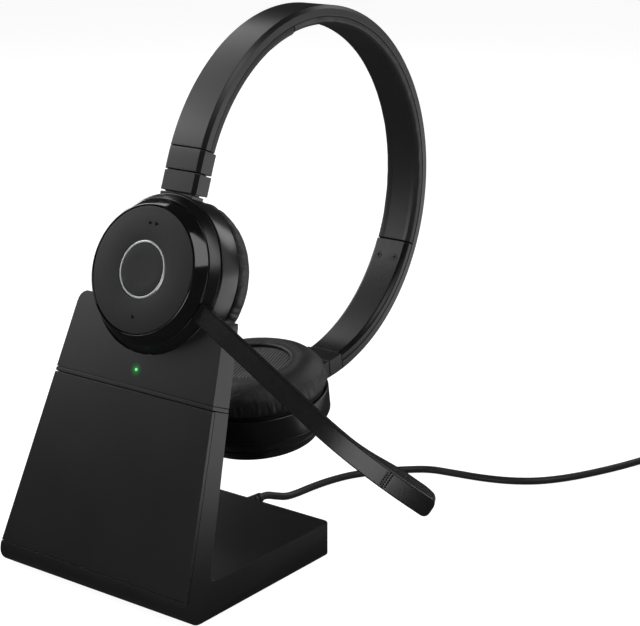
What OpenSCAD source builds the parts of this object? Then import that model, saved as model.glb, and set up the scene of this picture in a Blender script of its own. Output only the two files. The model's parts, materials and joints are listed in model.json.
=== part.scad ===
// Office headset docked in its charging stand.
// +Z up, +X to the right, the stand's front faces -Y.
// The origin is the centre of the stand's underside, on the surface it stands on.
// Ear cups are drawn in cup axes: y is the depth behind the outer face, z runs up the arm.

/* [Stand] */
// Width of the stand at its underside
stand_w = 107.6; // [90:0.1:135]
// Depth of the stand's foot, front edge to rear edge
stand_l = 100; // [84:0.5:124]
// Height of the foot
foot_h = 14.2; // [11:0.1:18]
// Length of the leaning upright, measured up its front face
upright_l = 124.7; // [118:0.1:150]
// Lean of the front face from vertical
stand_lean = 21.5; // [16:0.1:26]
// Thickness of the upright at its foot
upright_t = 15.2; // [14:0.1:18]
// How fast the upright thins towards its top, degrees
upright_taper = 3.07; // [2:0.01:3.5]
// How far the sides lean in, degrees
side_draft = 6.2; // [4:0.1:8]
// Wall of the stand's mouldings
stand_wall = 2.4; // [1.6:0.1:3]
// Height of the rubber feet below the mouldings
rubber_h = 0.8; // [0.5:0.1:2]
// Width of the trim band across the upright
trim_w = 2.2; // [1.5:0.1:4]
// Distance of the trim band's lower edge up the front face
trim_at = 88.3; // [80:0.1:92]
// Gap left between the stand's mouldings
seam = 0.2; // [0.1:0.05:0.4]

/* [Ear cups] */
// Radius of an ear cup's housing
cup_r = 33.8; // [28:0.1:41]
// Depth of the housing's front edge behind the outer face
ring_d = 10.3; // [9:0.1:12]
// Depth of the housing's rear edge behind the outer face
housing_d = 21.4; // [18:0.1:26]
// Depth of the sloped glossy ring
bevel_d = 5.4; // [4:0.1:6.5]
// Width of the slope of the glossy ring
bevel_w = 3.7; // [3:0.1:4.5]
// Wall of an ear cup's mouldings
cup_wall = 1.8; // [1.2:0.1:2.2]
// Thickness of an ear cushion
cushion_t = 14.4; // [12:0.1:17.5]
// Radius of the ear opening in a cushion
ear_r = 17.7; // [14:0.1:20]
// Radius of the call button
button_r = 11.1; // [9:0.1:12]
// Width of the bright ring around the button
bright_w = 1.2; // [0.8:0.1:1.6]
// Travel of the call button
button_travel = 0.6; // [0.3:0.1:0.8]

/* [Boom] */
// Reach of the boom's tip from the ear cup's axis
boom_l = 159; // [140:1:190]
// Width of the boom's outer face
boom_w = 8; // [7:0.1:10]
// Thickness of the arm
boom_t = 3.4; // [2.8:0.1:3.6]
// Thickness of the arm around the microphone
boom_mic_t = 11.4; // [9:0.1:13]
// Distance along the arm at which it starts to curve to the mouth
boom_bend_at = 103; // [90:1:110]
// Radius of that curve
boom_bend_r = 100; // [85:1:130]
// Angle of the arm below horizontal in the parked position
boom_angle = 24.7; // [10:0.1:40]

/* [Headband] */
// Outer radius of the headband's arc
band_r = 87; // [75:0.5:104]
// Width of the headband
band_w = 19.5; // [16:0.1:23.4]
// Thickness of the headband
band_t = 9; // [8:0.1:10.8]
// Chamfer along the headband's outer edges
band_chamfer = 1.5; // [1:0.1:2]
// Angle that the arc runs past a half circle at each end
splay = 30.6; // [24:0.1:34]
// Height above the ear cup's axis at which an arm becomes straight
arm_top = 48.3; // [46:0.1:56]
// Height above the ear cup's axis of the joint at the arm's foot
neck_top = 34.2; // [34.2:0.1:42]
// Length of the sliding block on each arm
slider_l = 8.3; // [7:0.1:10]
// Angle from the crown at which the soft pad ends
pad_end = 64; // [50:1:75]
// Travel of each size slider
slide_travel = 14; // [8:0.5:15]

/* [Dock] */
// Distance of the cradle's axis up the front face
cradle_at = 137.9; // [130:0.1:164]
// Lean of the docked ear cup from vertical
cup_lean = 20.5; // [15:0.1:25]
// Gap between the docked ear cup and the cradle
dock_gap = 0.3; // [0.2:0.05:0.6]

/* [Cable] */
// Diameter of the cable
cable_d = 3.5; // [3:0.1:4]
// Turns in the coil of spare cable
coil_turns = 8; // [4:1:10]

/* [Hidden] */
$fn = 72;

eps = 0.01;
big = 400;

// Stand
front_y = -stand_l / 2;
half_w = stand_w / 2;
upright_h = upright_l * cos(stand_lean);
// Half width of the stand at a distance up the front face
function half_at(s) = half_w - s * cos(stand_lean) * tan(side_draft + 0.5);
// Thickness of the upright at a distance up the front face
function thick_at(s) = upright_t - s * tan(upright_taper);
trim_top = trim_at + trim_w;
nose_r = 8;
nose_reach = nose_r / tan((90 - stand_lean) / 2);
panel_at = nose_reach + 0.3;
panel_t = 1.9;
room_front = panel_t + 1.4;
horn_r = 5;
foot_corner_r = 4;
inner_fillet = 3.4;
plate_t = 2;
plate_step = 1;
plate_inset = 3;
rubber_r = 5;
rubber_inset = 11;
screw_r = 1.5;
screw_head_r = 2.8;
screw_inset = 21;
ballast_t = 7;

// Docked ear cup: its axis crosses the plane of the front face at cradle_at
axis_y = front_y + cradle_at * sin(stand_lean);
axis_z = rubber_h + cradle_at * cos(stand_lean);
cup_y = axis_y - ring_d * cos(cup_lean);
cup_z = axis_z + ring_d * sin(cup_lean);

// Ear cup
bevel_r = cup_r - 3.1;
face_r = bevel_r - bevel_w;
collar_d = 3.2;
collar_ri = face_r - 2.2;
run = 0.1;
ring_gap = 0.2;
plate_d = 1.6;
plate_gap = 0.35;
pivot_d = plate_d + 0.7;
board_d = 4.6;
switch_d = plate_d + button_travel + 1.3;
gap_r = cup_r - 2.3;
gap_d = housing_d + 1.2;
cushion_r = cup_r - 0.8;
crown_r = cushion_r - 10;
swell_d = gap_d + 2.4;
cloth_d = gap_d + cushion_t - 2.4;
cloth_r = ear_r + 4;
driver_r = 14.9;
bright_r = button_r + 0.1;

// Arm: outer surface flush with the housing's front edge
arm_d = ring_d;
half_band = band_w / 2;
pin_z = neck_top + 4.6;
pin_d = arm_d + 4.2;
pin_r = 1;
pin_l = band_w - 1;
knuckle_r = 2.5;
knuckle_w = 16.5;
slider_foot = neck_top + 0.75;
slider_top = slider_foot + slider_l;
collar_foot = slider_top + 0.6;
plinth_h = 0.45;
// Angle past the straight at which the collar meets the band
collar_angle = 3.7;
band_end = 90 + splay - collar_angle;
strip_w = 10;
strip_t = 0.9;
strip_d = arm_d + 4;
strip_reach = slide_travel + 3.5;
strip_room = 0.3;
shell_t = 2;
shell_side = 1.7;
shell_edge = band_r - 4.8;
band_ri = band_r - band_t;
spring_end = 100;
screw_angle = pad_end + 6.4;
screw_x = 4.6;

// Boom
boom_offset = 1;
boom_steps = 14;
bend_end = asin((boom_l - boom_bend_at) / boom_bend_r);

// Status light and the cradle's contacts
light_at = trim_top + 6.6;
pin_hole_r = 1.3;
pin_x = 4;
pin_depth = ring_d + 5;

// Cable route on the table, from the rear of the foot: hand-laid points
cable_z = cable_d / 2;
relief_l = 16;
exit_y = stand_l / 2 + relief_l;
exit_z = 8.4;
route = [
    [0, exit_y, exit_z], [0, exit_y + 5, 7.8], [0, exit_y + 12, 5.2], [0, exit_y + 19, 2.8],
    [0, exit_y + 27, cable_z], [1, exit_y + 38, cable_z], [3, exit_y + 50, cable_z],
    [7, exit_y + 62, cable_z], [14, exit_y + 73, cable_z], [23, exit_y + 83, cable_z],
    [33, exit_y + 91, cable_z], [45, exit_y + 94, cable_z], [59, exit_y + 97, cable_z],
    [72, exit_y + 102, cable_z], [83, exit_y + 110, cable_z], [92, exit_y + 122, cable_z],
    [100, exit_y + 138, cable_z], [107, exit_y + 156, cable_z], [113, exit_y + 176, cable_z],
    [118, exit_y + 196, cable_z]
];
route_end = route[len(route) - 1];
coil_r = 20;
coil_layers = 2;
coil_rows = ceil(coil_turns / coil_layers);
coil_x = route_end[0] + coil_r + (coil_rows - 1) * cable_d / 2;
coil_y = route_end[1];
tie_w = 8;
plug_body_l = 22;
plug_w = 15.5;
plug_h = 7.6;
plug_shell_l = 18.5;

// ---------------------------------------------------------------- frames

// Axes of the upright: z runs up the front face, y goes into the stand
module upright_frame() {
    translate([0, front_y, rubber_h]) rotate([-stand_lean, 0, 0]) children();
}

module near_frame() {
    translate([0, cup_y, cup_z]) rotate([-cup_lean, 0, 0]) children();
}

// Axes of the headband: the origin is the centre of its arc and z points to its crown
module band_frame() {
    near_frame() translate([0, arm_d + band_r, arm_top]) rotate([-splay, 0, 0]) children();
}

module far_frame() {
    band_frame() mirror([0, 1, 0]) rotate([splay, 0, 0])
        translate([0, -arm_d - band_r, -arm_top]) children();
}

// Turns an outline of [radius, depth] points about the ear cup's axis
module turned(points) {
    rotate([-90, 0, 0]) rotate_extrude($fn = 96) polygon(points);
}

// Sweeps an outline of [radius, x] points about the headband's centre,
// from one angle to another, both counted from the crown towards the far side
module swept(points, from, to) {
    rotate([0, 90, 0]) rotate([0, 0, 180 - to])
        rotate_extrude(angle = to - from, $fn = 180) polygon(points);
}

// ---------------------------------------------------------------- stand

// The stand from the side: foot, leaning upright and the rounded nose between them
module side_profile() {
    back_lean = stand_lean - upright_taper;
    heel = front_y + thick_at(0) / cos(stand_lean) + foot_h * tan(back_lean);
    reach = inner_fillet / tan((90 + back_lean) / 2);
    top = [front_y + upright_l * sin(stand_lean), upright_l * cos(stand_lean)];
    polygon(concat(
        [for (k = [0 : 12]) let (a = 180 - stand_lean + k * (90 + stand_lean) / 12)
            [front_y + nose_reach + nose_r * cos(a), nose_r + nose_r * sin(a)]],
        [[stand_l / 2, 0], [stand_l / 2, foot_h]],
        [for (k = [0 : 6]) let (a = 270 - k * (90 - back_lean) / 6)
            [heel + reach + inner_fillet * cos(a), foot_h + inner_fillet + inner_fillet * sin(a)]],
        [top + thick_at(upright_l) * [cos(stand_lean), -sin(stand_lean)], top]
    ));
}

// Solid block with the stand's whole outer shape
module stand_envelope() {
    translate([0, 0, rubber_h]) intersection() {
        rotate([90, 0, 90]) translate([0, 0, -half_w - 1])
            linear_extrude(height = stand_w + 2) side_profile();
        rotate([90, 0, 0]) translate([0, 0, -stand_l]) linear_extrude(height = 2 * stand_l)
            front_outline();
        translate([0, 0, -1]) linear_extrude(height = big) foot_outline();
    }
}

module front_outline() {
    top = upright_h;
    wt = half_at(upright_l);
    union() {
        polygon([
            [-half_w, 0], [half_w, 0],
            [half_at(upright_l - horn_r), top - horn_r * 0.93],
            [wt - horn_r, top - horn_r * 0.93],
            [horn_r - wt, top - horn_r * 0.93],
            [-half_at(upright_l - horn_r), top - horn_r * 0.93]
        ]);
        translate([horn_r - wt, top - horn_r * 0.95]) square([2 * wt - 2 * horn_r, horn_r]);
        for (k = [-1, 1]) translate([k * (wt - horn_r + 0.45), top - horn_r]) circle(r = horn_r);
    }
}

module foot_outline() {
    hull() {
        translate([-half_w, front_y - 1]) square([stand_w, 1]);
        for (k = [-1, 1])
            translate([k * (half_w - foot_corner_r - 1), stand_l / 2 - foot_corner_r])
                circle(r = foot_corner_r, $fn = 32);
    }
}

// Block between two distances up the front face, much wider than the stand
module slice(from, to) {
    upright_frame() translate([-big / 2, -big / 2, from]) cube([big, big, to - from]);
}

// Room inside the upright between two distances up the front face
module upright_room(from, to, wall) {
    upright_frame() translate([0, wall, 0]) rotate([90, 0, 0]) mirror([0, 0, 1])
        linear_extrude(height = thick_at(to) - 2 * wall)
            polygon([
                [-half_at(from) + wall * 1.4, from], [half_at(from) - wall * 1.4, from],
                [half_at(to) - wall * 1.4, to], [-half_at(to) + wall * 1.4, to]
            ]);
}

// Seat of the front panel, in upright axes
module panel_block(depth, from, to) {
    translate([-half_w - 1, -2, from]) cube([stand_w + 2, depth + 2, to - from]);
}

module foot_room() {
    w = half_at(foot_h) - stand_wall;
    translate([-w, front_y + upright_t + 6, rubber_h - 1])
        cube([2 * w, stand_l - upright_t - 6 - stand_wall, foot_h - stand_wall + 1]);
}

module cable_hole(r) {
    translate([0, stand_l / 2 - stand_wall - 2, exit_z]) rotate([-90, 0, 0])
        cylinder(r = r, h = stand_wall + 4);
}

// Holes in the underside take the base screws
module screw_places() {
    for (kx = [-1, 1], ky = [-1, 1])
        translate([kx * (half_w - screw_inset), 13 + ky * (stand_l / 2 - 24), 0]) children();
}

module stand_shell() {
    color([0.05, 0.05, 0.055]) difference() {
        union() {
            difference() {
                stand_envelope();
                slice(trim_at, big);
                upright_room(nose_r + 4, trim_at + 1, room_front);
                upright_frame() panel_block(panel_t, panel_at, trim_at + 1);
                foot_room();
                translate([0, 0, rubber_h]) plate_outline(0.1, plate_t + plate_step);
            }
            screw_places() translate([0, 0, rubber_h + plate_step + plate_t])
                cylinder(r = 3.4, h = foot_h - plate_step - plate_t - 1);
        }
        screw_places() translate([0, 0, rubber_h - eps])
            cylinder(r = screw_r, h = foot_h - 3.2);
        cable_hole(3.2);
    }
}

module front_panel() {
    color([0.02, 0.02, 0.022]) union() {
        intersection() {
            stand_envelope();
            upright_frame() panel_block(panel_t - seam, panel_at + seam, trim_at - seam);
        }
        // Pads on the back of the panel rest on the upright's rim
        upright_frame() for (k = [-1, 1])
            translate([k * (half_at(trim_at) - 1.5) - 1, panel_t - seam - eps, panel_at + 8])
                cube([2, seam + eps, trim_at - panel_at - 30]);
    }
}

// Cylinder about the docked ear cup's axis, which cuts the cradle
module cradle_cut(r) {
    near_frame() rotate([-90, 0, 0]) cylinder(r = r, h = 60, $fn = 96);
}

module trim_band() {
    color([0.12, 0.12, 0.125]) difference() {
        intersection() {
            stand_envelope();
            slice(trim_at, trim_top);
        }
        upright_room(trim_at - 1, trim_top + 1, stand_wall);
        rim_groove(trim_at - 0.1);
        rim_groove(trim_top - 0.3);
    }
}

// Shallow groove all round the upright, which makes a shadow line
module rim_groove(at) {
    inner = half_at(trim_at) - 0.5;
    upright_frame() difference() {
        translate([-big / 2, -big / 2, at]) cube([big, big, 0.4]);
        translate([-inner, 0.4, at - 1]) cube([2 * inner, thick_at(trim_at) - 0.8, 3]);
    }
}

module stand_head() {
    room_top = cradle_at - cup_r - 3.3;
    color([0.04, 0.04, 0.045]) difference() {
        intersection() {
            stand_envelope();
            slice(trim_top, big);
        }
        cradle_cut(cup_r + dock_gap);
        upright_room(trim_top - 1, room_top, stand_wall);
        // Window of the status light
        upright_frame() translate([0, -1, light_at]) rotate([-90, 0, 0])
            cylinder(r = 0.9, h = stand_wall + 2);
        pin_places() cylinder(r = pin_hole_r, h = 12, center = true);
    }
}

module status_light() {
    color([0.2, 0.9, 0.35]) upright_frame() translate([0, 0, light_at]) rotate([-90, 0, 0]) {
        translate([0, 0, -0.05]) cylinder(r = 0.85, h = stand_wall - 0.05);
        translate([0, 0, stand_wall]) cylinder(r = 1.6, h = 1);
    }
}

// Two contacts at the bottom of the cradle, pointing up at the ear cup
module pin_places() {
    near_frame() for (k = [-1, 1])
        translate([k * pin_x, pin_depth, -cup_r]) children();
}

module charge_pins() {
    color([0.85, 0.68, 0.3]) pin_places() {
        translate([0, 0, -4]) cylinder(r = 0.9, h = 3.9);
        translate([0, 0, -5]) cylinder(r = 1.2, h = 1.6);
    }
}

module charge_board() {
    wide = 2 * half_at(trim_top) - 22;
    color([0.05, 0.3, 0.14]) upright_frame() translate([-wide / 2, room_front, trim_at - 34])
        difference() {
            cube([wide, 1.6, 36]);
            for (k = [4, wide - 4]) translate([k, -1, 4]) rotate([-90, 0, 0])
                cylinder(r = 1.2, h = 4);
        }
}

module plate_outline(grow, h) {
    y0 = front_y + nose_reach + 1.2;
    y1 = stand_l / 2 - plate_inset;
    w = half_w - plate_inset;
    translate([-w - grow, y0 - grow, -eps])
        cube([2 * w + 2 * grow, y1 - y0 + 2 * grow, h + eps]);
}

module base_plate() {
    color([0.03, 0.03, 0.03]) difference() {
        translate([0, 0, rubber_h + plate_step]) plate_outline(0, plate_t);
        screw_places() translate([0, 0, rubber_h]) {
            cylinder(r = screw_r + 0.2, h = 6);
            cylinder(r = screw_head_r + 0.2, h = plate_step + 0.9);
        }
        foot_places() translate([0, 0, rubber_h]) cylinder(r = rubber_r, h = plate_step + 0.6);
    }
}

module foot_places() {
    for (kx = [-1, 1], ky = [-1, 1])
        translate([kx * (half_w - rubber_inset),
                   ky > 0 ? stand_l / 2 - rubber_inset - 1 : front_y + nose_reach + rubber_r + 2.5, 0])
            children();
    children();
}

module rubber_feet() {
    color([0.08, 0.08, 0.08]) foot_places() rotate_extrude()
        polygon([[0, 0], [rubber_r - 0.6, 0], [rubber_r, 0.6],
                 [rubber_r, rubber_h + plate_step + 0.6], [0, rubber_h + plate_step + 0.6]]);
}

module base_screws() {
    color([0.6, 0.6, 0.62]) screw_places() translate([0, 0, rubber_h + plate_step]) difference() {
        union() {
            cylinder(r = screw_head_r, h = 0.9);
            cylinder(r = screw_r, h = 9);
        }
        translate([0, 0, -eps]) for (a = [0, 90]) rotate(a) translate([-1.5, -0.3, 0])
            cube([3, 0.6, 0.6]);
    }
}

// Steel weight that keeps the stand on the table
module ballast() {
    long = stand_l - upright_t - 34;
    half = half_w - screw_inset - 5;
    color([0.45, 0.45, 0.47])
        translate([-half, front_y + upright_t + 16, rubber_h + plate_step + plate_t])
            difference() {
                cube([2 * half, long, ballast_t]);
                for (kx = [0, 1], ky = [0, 1])
                    translate([kx * 2 * half, ky * long, -1]) cylinder(r = 5, h = ballast_t + 2);
            }
}

module strain_relief() {
    color([0.03, 0.03, 0.03]) translate([0, stand_l / 2, exit_z])
        rotate([-90, 0, 0]) difference() {
            rotate_extrude() polygon([
                [0, -stand_wall - 1.2], [3.9, -stand_wall - 1.2], [3.9, -stand_wall],
                [3.1, -stand_wall], [3.1, 0], [3.1, 1.5], [2.3, relief_l], [0, relief_l]
            ]);
            for (k = [0:3]) translate([0, 0, 4 + 3 * k]) difference() {
                cylinder(r = 6, h = 1.2, center = true);
                cylinder(r = cable_d / 2 + 0.25, h = 2, center = true);
            }
        }
}

// ---------------------------------------------------------------- cable

// Points of a smooth curve through the route, four to each span
function curve(p, n) = [
    for (i = [0 : len(p) - 2], k = [0 : n - 1]) let (
        t = k / n,
        a = p[max(i - 1, 0)], b = p[i], c = p[i + 1], d = p[min(i + 2, len(p) - 1)]
    ) 0.5 * (2 * b + (c - a) * t + (2 * a - 5 * b + 4 * c - d) * t * t
             + (3 * b - a - 3 * c + d) * t * t * t),
    p[len(p) - 1]
];
function unit(v) = v / norm(v);

// Tube of eight sides along a line of points
module tube(points, r) {
    n = len(points);
    m = 8;
    rings = [
        for (i = [0 : n - 1]) let (
            along = unit(points[min(i + 1, n - 1)] - points[max(i - 1, 0)]),
            side = unit(cross(along, [0, 0, 1])),
            up = cross(side, along)
        ) for (k = [0 : m - 1])
            points[i] + r * cos(360 * k / m) * side + r * sin(360 * k / m) * up
    ];
    sides = [for (i = [0 : n - 2], k = [0 : m - 1]) [
        i * m + k, i * m + (k + 1) % m, (i + 1) * m + (k + 1) % m, (i + 1) * m + k
    ]];
    first = [for (k = [m - 1 : -1 : 0]) k];
    last = [for (k = [0 : m - 1]) (n - 1) * m + k];
    polyhedron(rings, concat([first], sides, [last]), convexity = 6);
}

module cable() {
    color([0.03, 0.03, 0.03]) tube(curve(route, 3), cable_d / 2 * 0.97);
}

module cable_coil() {
    inner = coil_r - coil_rows * cable_d / 2;
    outer = coil_r + coil_rows * cable_d / 2;
    high = coil_layers * cable_d;
    color([0.03, 0.03, 0.03]) translate([coil_x, coil_y, 0])
        rotate_extrude() polygon([
            [inner + 1, 0], [outer - 1, 0], [outer, 1], [outer, high - 1], [outer - 1, high],
            [inner + 1, high], [inner, high - 1], [inner, 1]
        ]);
}

module cable_tie() {
    inner = coil_r - coil_rows * cable_d / 2;
    outer = coil_r + coil_rows * cable_d / 2;
    high = coil_layers * cable_d;
    color([0.1, 0.1, 0.1]) translate([coil_x, coil_y, 0]) rotate([0, 0, 60])
        translate([-tie_w / 2, inner - 1, 0]) difference() {
            cube([tie_w, outer - inner + 2, high + 0.9]);
            translate([-1, 1, -1]) cube([tie_w + 2, outer - inner, high + 1]);
        }
}

// The plug lies beside the coil
module plug_frame() {
    outer = coil_r + coil_rows * cable_d / 2;
    translate([coil_x + outer + plug_w / 2 + 2, coil_y - 17, 0]) children();
}

module plug_body() {
    color([0.04, 0.04, 0.04]) plug_frame() {
        difference() {
            translate([-plug_w / 2, -plug_body_l, 0]) cube([plug_w, plug_body_l, plug_h]);
            for (k = [0:3]) translate([0, -5 - 2.5 * k, plug_h]) cube([9, 1, 0.8], center = true);
        }
        translate([0, 0, plug_h / 2]) rotate([-90, 0, 0])
            rotate_extrude() polygon([[0, -1], [3, -1], [3, 0], [2.2, 12], [0, 12]]);
    }
}

module plug_shell() {
    color([0.7, 0.7, 0.72]) plug_frame() translate([0, -plug_body_l, plug_h / 2])
        difference() {
            translate([-6, -plug_shell_l, -2.25]) cube([12, plug_shell_l, 4.5]);
            translate([-5.5, -plug_shell_l - 1, 0.1]) cube([11, 16, 1.85]);
            for (k = [-1, 1]) translate([k * 2.6, -10, 2.25])
                cube([2, 2.4, 0.7], center = true);
        }
}

// ---------------------------------------------------------------- ear cups

module housing() {
    turned([
        [collar_ri, collar_d], [face_r, collar_d], [face_r, ring_d], [cup_r - 0.4, ring_d],
        [cup_r, ring_d + 0.4], [cup_r, housing_d - 0.5], [cup_r - 0.5, housing_d],
        [cup_r - cup_wall, housing_d], [cup_r - cup_wall, ring_d + cup_wall],
        [collar_ri, ring_d + cup_wall]
    ]);
}

// Sloped glossy ring around the outer face
module bevel() {
    turned([
        [face_r, 0], [face_r + 0.35, 0], [bevel_r, bevel_d - 0.3], [bevel_r - 0.2, bevel_d],
        [face_r, bevel_d]
    ]);
}

// Ring between the glossy ring and the housing
module middle_ring() {
    turned([
        [face_r + run, bevel_d + ring_gap], [bevel_r + 0.1, bevel_d + ring_gap],
        [cup_r - 0.5, ring_d - ring_gap - 0.5], [cup_r - 0.7, ring_d - ring_gap],
        [face_r + run, ring_d - ring_gap]
    ]);
}

module baffle() {
    turned([
        [driver_r + 0.1, gap_d - 1.6], [gap_r - 1.6, gap_d - 1.6],
        [gap_r - 1.6, housing_d - 2], [cup_r - cup_wall, housing_d - 2],
        [cup_r - cup_wall, housing_d - 0.4], [gap_r, housing_d], [gap_r, gap_d],
        [driver_r + 0.1, gap_d]
    ]);
}

module driver() {
    turned([
        [0, gap_d - 8.8], [8.5, gap_d - 8.8], [8.5, gap_d - 5.2],
        [driver_r - 1, gap_d - 3.2], [driver_r + 1.5, gap_d - 3.2],
        [driver_r + 1.5, gap_d - 1.6], [driver_r, gap_d - 1.6], [driver_r, gap_d],
        [0, gap_d]
    ]);
}

// Ribbed cloth with the disc of open foam that carries it
module cloth() {
    turned([[0, gap_d], [cloth_r - 0.1, gap_d], [cloth_r - 0.1, cloth_d], [0, cloth_d]]);
}

// Low dome from the cushion's foot over its crown to the lip around the cloth
module cushion() {
    top = gap_d + cushion_t;
    turned(concat(
        [[cushion_r - 0.9, gap_d]],
        [for (a = [0 : 10 : 90])
            [crown_r + (cushion_r - crown_r) * cos(a), swell_d + (top - swell_d) * sin(a)]],
        [[ear_r + 2, top - 0.25], [ear_r + 0.5, top - 0.6], [ear_r, top - 1.1],
         [ear_r, cloth_d], [cloth_r, cloth_d], [cloth_r, gap_d]]
    ));
}

// Foot of the arm, with the knuckle that the slider's pin passes through
module neck() {
    difference() {
        union() {
            intersection() {
                translate([-half_band + 1, arm_d + 0.5, 0]) cube([band_w - 2, 7.6, neck_top]);
                translate([0, 0, cup_r - 8]) cube([band_w, 60, 40], center = true);
            }
            translate([-knuckle_w / 2, pin_d - 1.6, neck_top - 1])
                cube([knuckle_w, 3.2, pin_z - neck_top + 1]);
            translate([0, pin_d, pin_z]) rotate([0, 90, 0])
                cylinder(r = knuckle_r, h = knuckle_w, center = true);
        }
        rotate([-90, 0, 0]) cylinder(r = cup_r, h = 60, $fn = 96);
        translate([0, pin_d, pin_z]) rotate([0, 90, 0])
            cylinder(r = pin_r + 0.05, h = 40, center = true);
    }
}

module hinge_pin() {
    translate([0, pin_d, pin_z]) rotate([0, 90, 0])
        cylinder(r = pin_r, h = pin_l, center = true);
}

module near_housing() { color([0.06, 0.06, 0.065]) near_frame() housing(); }
module far_housing() { color([0.06, 0.06, 0.065]) far_frame() housing(); }
module near_bevel() { color([0.015, 0.015, 0.015]) near_frame() bevel(); }
module far_bevel() { color([0.015, 0.015, 0.015]) far_frame() bevel(); }
module far_ring() { color([0.05, 0.05, 0.055]) far_frame() middle_ring(); }
module near_baffle() { color([0.02, 0.02, 0.02]) near_frame() baffle(); }
module far_baffle() { color([0.02, 0.02, 0.02]) far_frame() baffle(); }
module near_driver() { color([0.5, 0.5, 0.5]) near_frame() driver(); }
module far_driver() { color([0.5, 0.5, 0.5]) far_frame() driver(); }
module near_cloth() { color([0.1, 0.1, 0.1]) near_frame() cloth(); }
module far_cloth() { color([0.1, 0.1, 0.1]) far_frame() cloth(); }
module near_cushion() { color([0.03, 0.03, 0.03]) near_frame() cushion(); }
module far_cushion() { color([0.03, 0.03, 0.03]) far_frame() cushion(); }
module near_neck() { color([0.05, 0.05, 0.055]) near_frame() neck(); }
module far_neck() { color([0.05, 0.05, 0.055]) far_frame() neck(); }
module near_pin() { color([0.7, 0.7, 0.72]) near_frame() hinge_pin(); }
module far_pin() { color([0.7, 0.7, 0.72]) far_frame() hinge_pin(); }

// Plain cap in place of the controls
module far_cap() {
    color([0.04, 0.04, 0.045]) far_frame() turned([
        [0, 0.15], [face_r - plate_gap, 0.15], [face_r - plate_gap, plate_d],
        [face_r - 1, plate_d], [face_r - 1, collar_d], [collar_ri - 1, collar_d],
        [collar_ri - 1, plate_d + 0.2], [0, plate_d + 0.2]
    ]);
}

module rocker_plate() {
    color([0.04, 0.04, 0.045]) near_frame() {
        turned([
            [bright_r + bright_w, 0.15], [face_r - plate_gap, 0.15],
            [face_r - plate_gap, plate_d], [bright_r, plate_d], [bright_r, 1],
            [bright_r + bright_w, 1]
        ]);
        for (k = [-1, 1]) {
            translate([0, plate_d - 0.1, k * (face_r - 7)]) rotate([-90, 0, 0])
                cylinder(r = 1.5, h = 1.3);
            // Pivots on which the plate rocks
            translate([k * (face_r - 7), pivot_d, 0]) rotate([0, 90, 0])
                cylinder(r = pivot_d - plate_d + 0.1, h = 5, center = true);
        }
    }
}

module bright_ring() {
    color([0.75, 0.76, 0.78]) near_frame()
        turned([[bright_r, 0.05], [bright_r + bright_w, 0.05], [bright_r + bright_w, 1],
                [bright_r, 1]]);
}

module call_button() {
    color([0.04, 0.04, 0.045]) near_frame() turned([
        [0, 0.15], [button_r, 0.15], [button_r, plate_d + 0.2], [2, plate_d + 0.2],
        [2, plate_d + 1], [0, plate_d + 1]
    ]);
}

module switch_board() {
    color([0.05, 0.3, 0.14]) near_frame() {
        turned([[0, board_d], [collar_ri, board_d], [collar_ri, board_d + 1.2], [0, board_d + 1.2]]);
        color([0.7, 0.7, 0.7]) for (k = [-1, 0, 1])
            translate([0, switch_d, k * (face_r - 7)]) rotate([-90, 0, 0])
                cylinder(r = 2, h = board_d - switch_d);
    }
}

module battery() {
    color([0.2, 0.35, 0.6]) near_frame() translate([-15, board_d + 1.2, -11])
        cube([30, 5.6, 22]);
}

module charge_pads() {
    color([0.85, 0.68, 0.3]) near_frame() for (k = [-1, 1]) intersection() {
        translate([k * pin_x, pin_depth, -cup_r]) cylinder(r = 1.5, h = 2 * cup_wall, center = true);
        rotate([-90, 0, 0]) difference() {
            cylinder(r = cup_r + 0.05, h = 60, $fn = 96);
            translate([0, 0, -1]) cylinder(r = cup_r, h = 62, $fn = 96);
        }
    }
}

// ---------------------------------------------------------------- boom

// Axes of the boom: x runs along the arm, y is the depth, z is across the arm
module boom_frame() {
    near_frame() rotate([0, boom_angle, 0]) translate([0, bevel_d + 0.15, boom_offset]) children();
}

// Thickness of the arm at an angle around its curve
function boom_thick(a) =
    let (rise = min(1, max(0, (a - 0.3 * bend_end) / (0.45 * bend_end))))
    boom_t + (boom_mic_t - boom_t) * (3 * rise * rise - 2 * rise * rise * rise);
// Rounding of the tip: how much of the thickness is left near its end
function tip_share(a) =
    let (t = max(0, (a - 0.84 * bend_end) / (0.16 * bend_end))) sqrt(1 - 0.75 * t * t);
function bend_point(a, deep) = [
    boom_bend_at + (boom_bend_r - deep) * sin(a),
    boom_bend_r - (boom_bend_r - deep) * cos(a)
];

// Outline of the boom from the side, between two shares of its thickness
module boom_outline(outer, inner) {
    polygon(concat(
        [[face_r, outer * boom_t]],
        [for (k = [0 : boom_steps]) let (a = bend_end * k / boom_steps)
            bend_point(a, outer * boom_thick(a) * tip_share(a))],
        [for (k = [boom_steps : -1 : 0]) let (a = bend_end * k / boom_steps)
            bend_point(a, inner * boom_thick(a) * tip_share(a))],
        [[face_r, inner * boom_t]]
    ));
}

module boom_solid(outer, inner, w) {
    intersection() {
        translate([0, 0, -w / 2]) linear_extrude(height = w) boom_outline(outer, inner);
        // Rounded corners of the tip as seen from outside
        rotate([-90, 0, 0]) translate([0, 0, -10]) linear_extrude(height = 60) union() {
            translate([0, -w / 2]) square([boom_l - 2.4, w]);
            translate([0, 2 - w / 2]) square([boom_l, w - 4]);
            for (k = [-1, 1]) translate([boom_l - 2.4, k * (w / 2 - 2.4)]) circle(r = 2.4);
        }
    }
}

// The turning ring of the boom
module boom_ring() { color([0.05, 0.05, 0.055]) near_frame() middle_ring(); }

module ring_clearance() {
    near_frame() turned([
        [0, -10], [bevel_r + 0.1, -10], [bevel_r + 0.1, bevel_d + ring_gap],
        [cup_r - 0.5, ring_d - ring_gap - 0.5], [cup_r - 0.5, 40], [0, 40]
    ]);
}

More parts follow.
